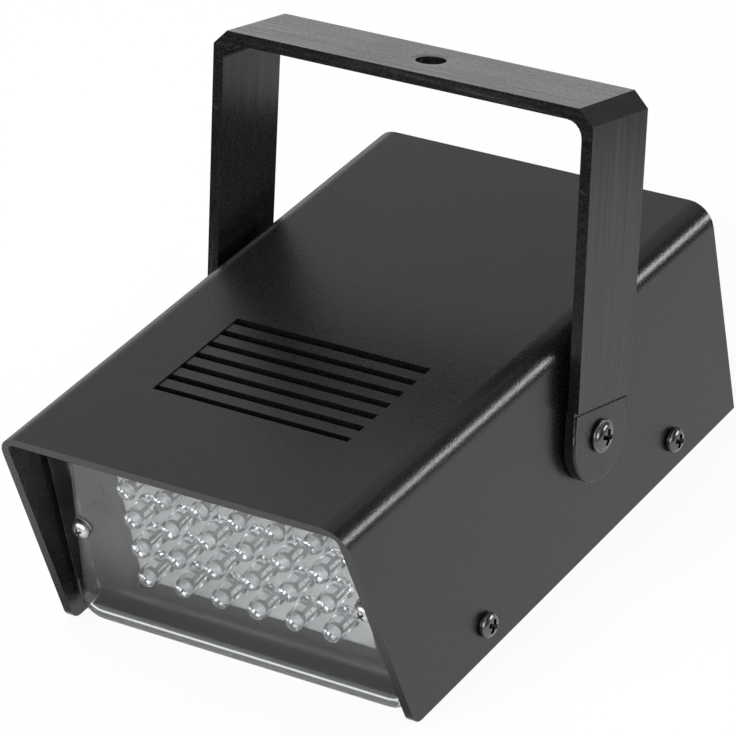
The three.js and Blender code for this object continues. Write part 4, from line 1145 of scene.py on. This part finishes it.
def make_floor():
    material = bpy.data.materials.new("floor")
    material.use_nodes = True
    tree = material.node_tree
    tree.nodes.clear()
    path = add_node(tree, "ShaderNodeLightPath")
    camera_ray = (path, "Is Camera Ray")
    # Painted shade on the floor where it is seen through clear parts.
    through = choose(tree, (path, "Is Transmission Ray"), FLOOR_WHITE, FLOOR_SHADE_THROUGH_CLEAR)
    lit = add_node(tree, "ShaderNodeBsdfDiffuse", [("Color", (through, 0))])
    strength = choose(tree, camera_ray, (mirrored_floor(tree), 0), 1.0)
    white = add_node(tree, "ShaderNodeEmission",
                     [("Color", (1, 1, 1, 1)), ("Strength", (strength, 0))])
    seen = math_node(tree, "MULTIPLY", camera_ray, 1 - FLOOR_SHADOW_SHARE)
    factor = math_node(tree, "MAXIMUM", (seen, 0), (path, "Is Glossy Ray"))
    mixed = add_node(tree, "ShaderNodeMixShader",
                     [(0, (factor, 0)), (1, (lit, 0)), (2, (white, 0))])
    add_node(tree, "ShaderNodeOutputMaterial", [("Surface", (mixed, 0))])
    corners = [(x * FLOOR_REACH, y * FLOOR_REACH, FLOOR_SINK)
               for x, y in ((-1, -1), (1, -1), (1, 1), (-1, 1))]
    mesh = bpy.data.meshes.new("floor")
    mesh.from_pydata(corners, [], [(0, 1, 2, 3)])
    floor = put_in_scene("floor", mesh, material)
    floor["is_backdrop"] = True


make_floor()

# %% [markdown]
# The world is one sphere of directions. Glossy rays see the room described above, scattered rays
# get an even light, and the camera sees plain white.

# %% World
WORLD_LIGHT = 0.5
# How bright the room looks in glossy surfaces, and where on the sphere one part blends to another
UPPER_GREY = 0.55
UPPER_RIGHT_GREY = 0.1
HORIZON_GREY = 0.03
BACK_GREY = 0.15
BACK_EDGE, LEFT_EDGE, UPPER_EDGE = (-0.2, 0.4), (0.2, 0.5), (0.12, 0.4)
# Facing, soft edge as a range of cosines, and strength of each card
BACK_CARD = ((-0.66, 0.745, 0.09), (0.88, 0.995), 1.0)
FRONT_CARD = ((0.45, -0.66, 0.6), (0.7, 0.95), 0.9)


def white_card(tree, place, facing, edge, strength):
    nearness = vector_node(tree, "DOT_PRODUCT", place, facing)
    return add_range(tree, (nearness, "Value"), *edge, 0.0, strength)


def make_world():
    world = bpy.data.worlds.new("studio")
    scene.world = world
    world.use_nodes = True
    tree = world.node_tree
    background = tree.nodes["Background"]
    background.inputs["Color"].default_value = (1, 1, 1, 1)
    place = (add_node(tree, "ShaderNodeTexCoord"), "Generated")
    parts = add_node(tree, "ShaderNodeSeparateXYZ", [("Vector", place)])
    left = (add_range(tree, (parts, "X"), *LEFT_EDGE, 1.0, 0.0), "Result")
    greys = (HORIZON_GREY, HORIZON_GREY + BACK_GREY)
    back = add_range(tree, (parts, "Y"), *BACK_EDGE, *greys)
    back_left = math_node(tree, "MULTIPLY", (back, "Result"), left)
    back_card = white_card(tree, place, *BACK_CARD)
    low = math_node(tree, "ADD", (back_card, "Result"), (back_left, 0))
    upper = choose(tree, left, UPPER_RIGHT_GREY, UPPER_GREY)
    height = add_range(tree, (parts, "Z"), *UPPER_EDGE)
    room = choose(tree, (height, "Result"), (low, 0), (upper, 0))
    front_card = white_card(tree, place, *FRONT_CARD)
    mirrored = math_node(tree, "MAXIMUM", (room, 0), (front_card, "Result"))
    path = add_node(tree, "ShaderNodeLightPath")
    scattered = math_node(tree, "MAXIMUM", (path, "Is Diffuse Ray"), (path, "Is Transmission Ray"))
    lighting = choose(tree, (scattered, 0), (mirrored, 0), WORLD_LIGHT)
    strength = choose(tree, (path, "Is Camera Ray"), (lighting, 0), 1.0)
    join(tree, strength, 0, background, "Strength")


make_world()

# %% [markdown]
# The bright line along the right bend of the housing comes from a low soft box behind and to
# the right. One from above opens up the top, and one on each side of the front lights the LEDs
# under the visor.

# %% Lamps
# Name, place, height of what it points at, width, height and power
SOFT_BOXES = (
    ("back right box", (1.05, 0.91, 0.28), 0.055, 0.75, 0.26, 8.0),
    ("top box", (-0.3, -0.1, 1.4), 0.03, 1.0, 1.0, 6.0),
    ("front right box", (0.55, -1.3, 0.75), 0.03, 0.9, 0.9, 11.0),
    ("front left box", (-0.6, -1.2, 0.8), 0.03, 0.8, 0.8, 7.0),
)
for name, place, target, width, height, power in SOFT_BOXES:
    data = bpy.data.lights.new(name, "AREA")
    data.shape = "RECTANGLE"
    data.size, data.size_y = width, height
    data.energy = power
    lamp = bpy.data.objects.new(name, data)
    scene.collection.objects.link(lamp)
    lamp.location = place
    towards = Vector((0, 0, target)) - Vector(place)
    lamp.rotation_euler = towards.to_track_quat("-Z", "Y").to_euler()

scene.view_settings.view_transform = "Standard"
print("lamps", [name for name, *_ in SOFT_BOXES])

# %% [markdown]
# ## The visible box
# The box round everything that renders, but the floor, is printed in millimetres.

# %% Sizes and finish
bpy.context.view_layer.update()
low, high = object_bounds()
print("visual", [round(v / MM, 2) for v in (*low, *high)])
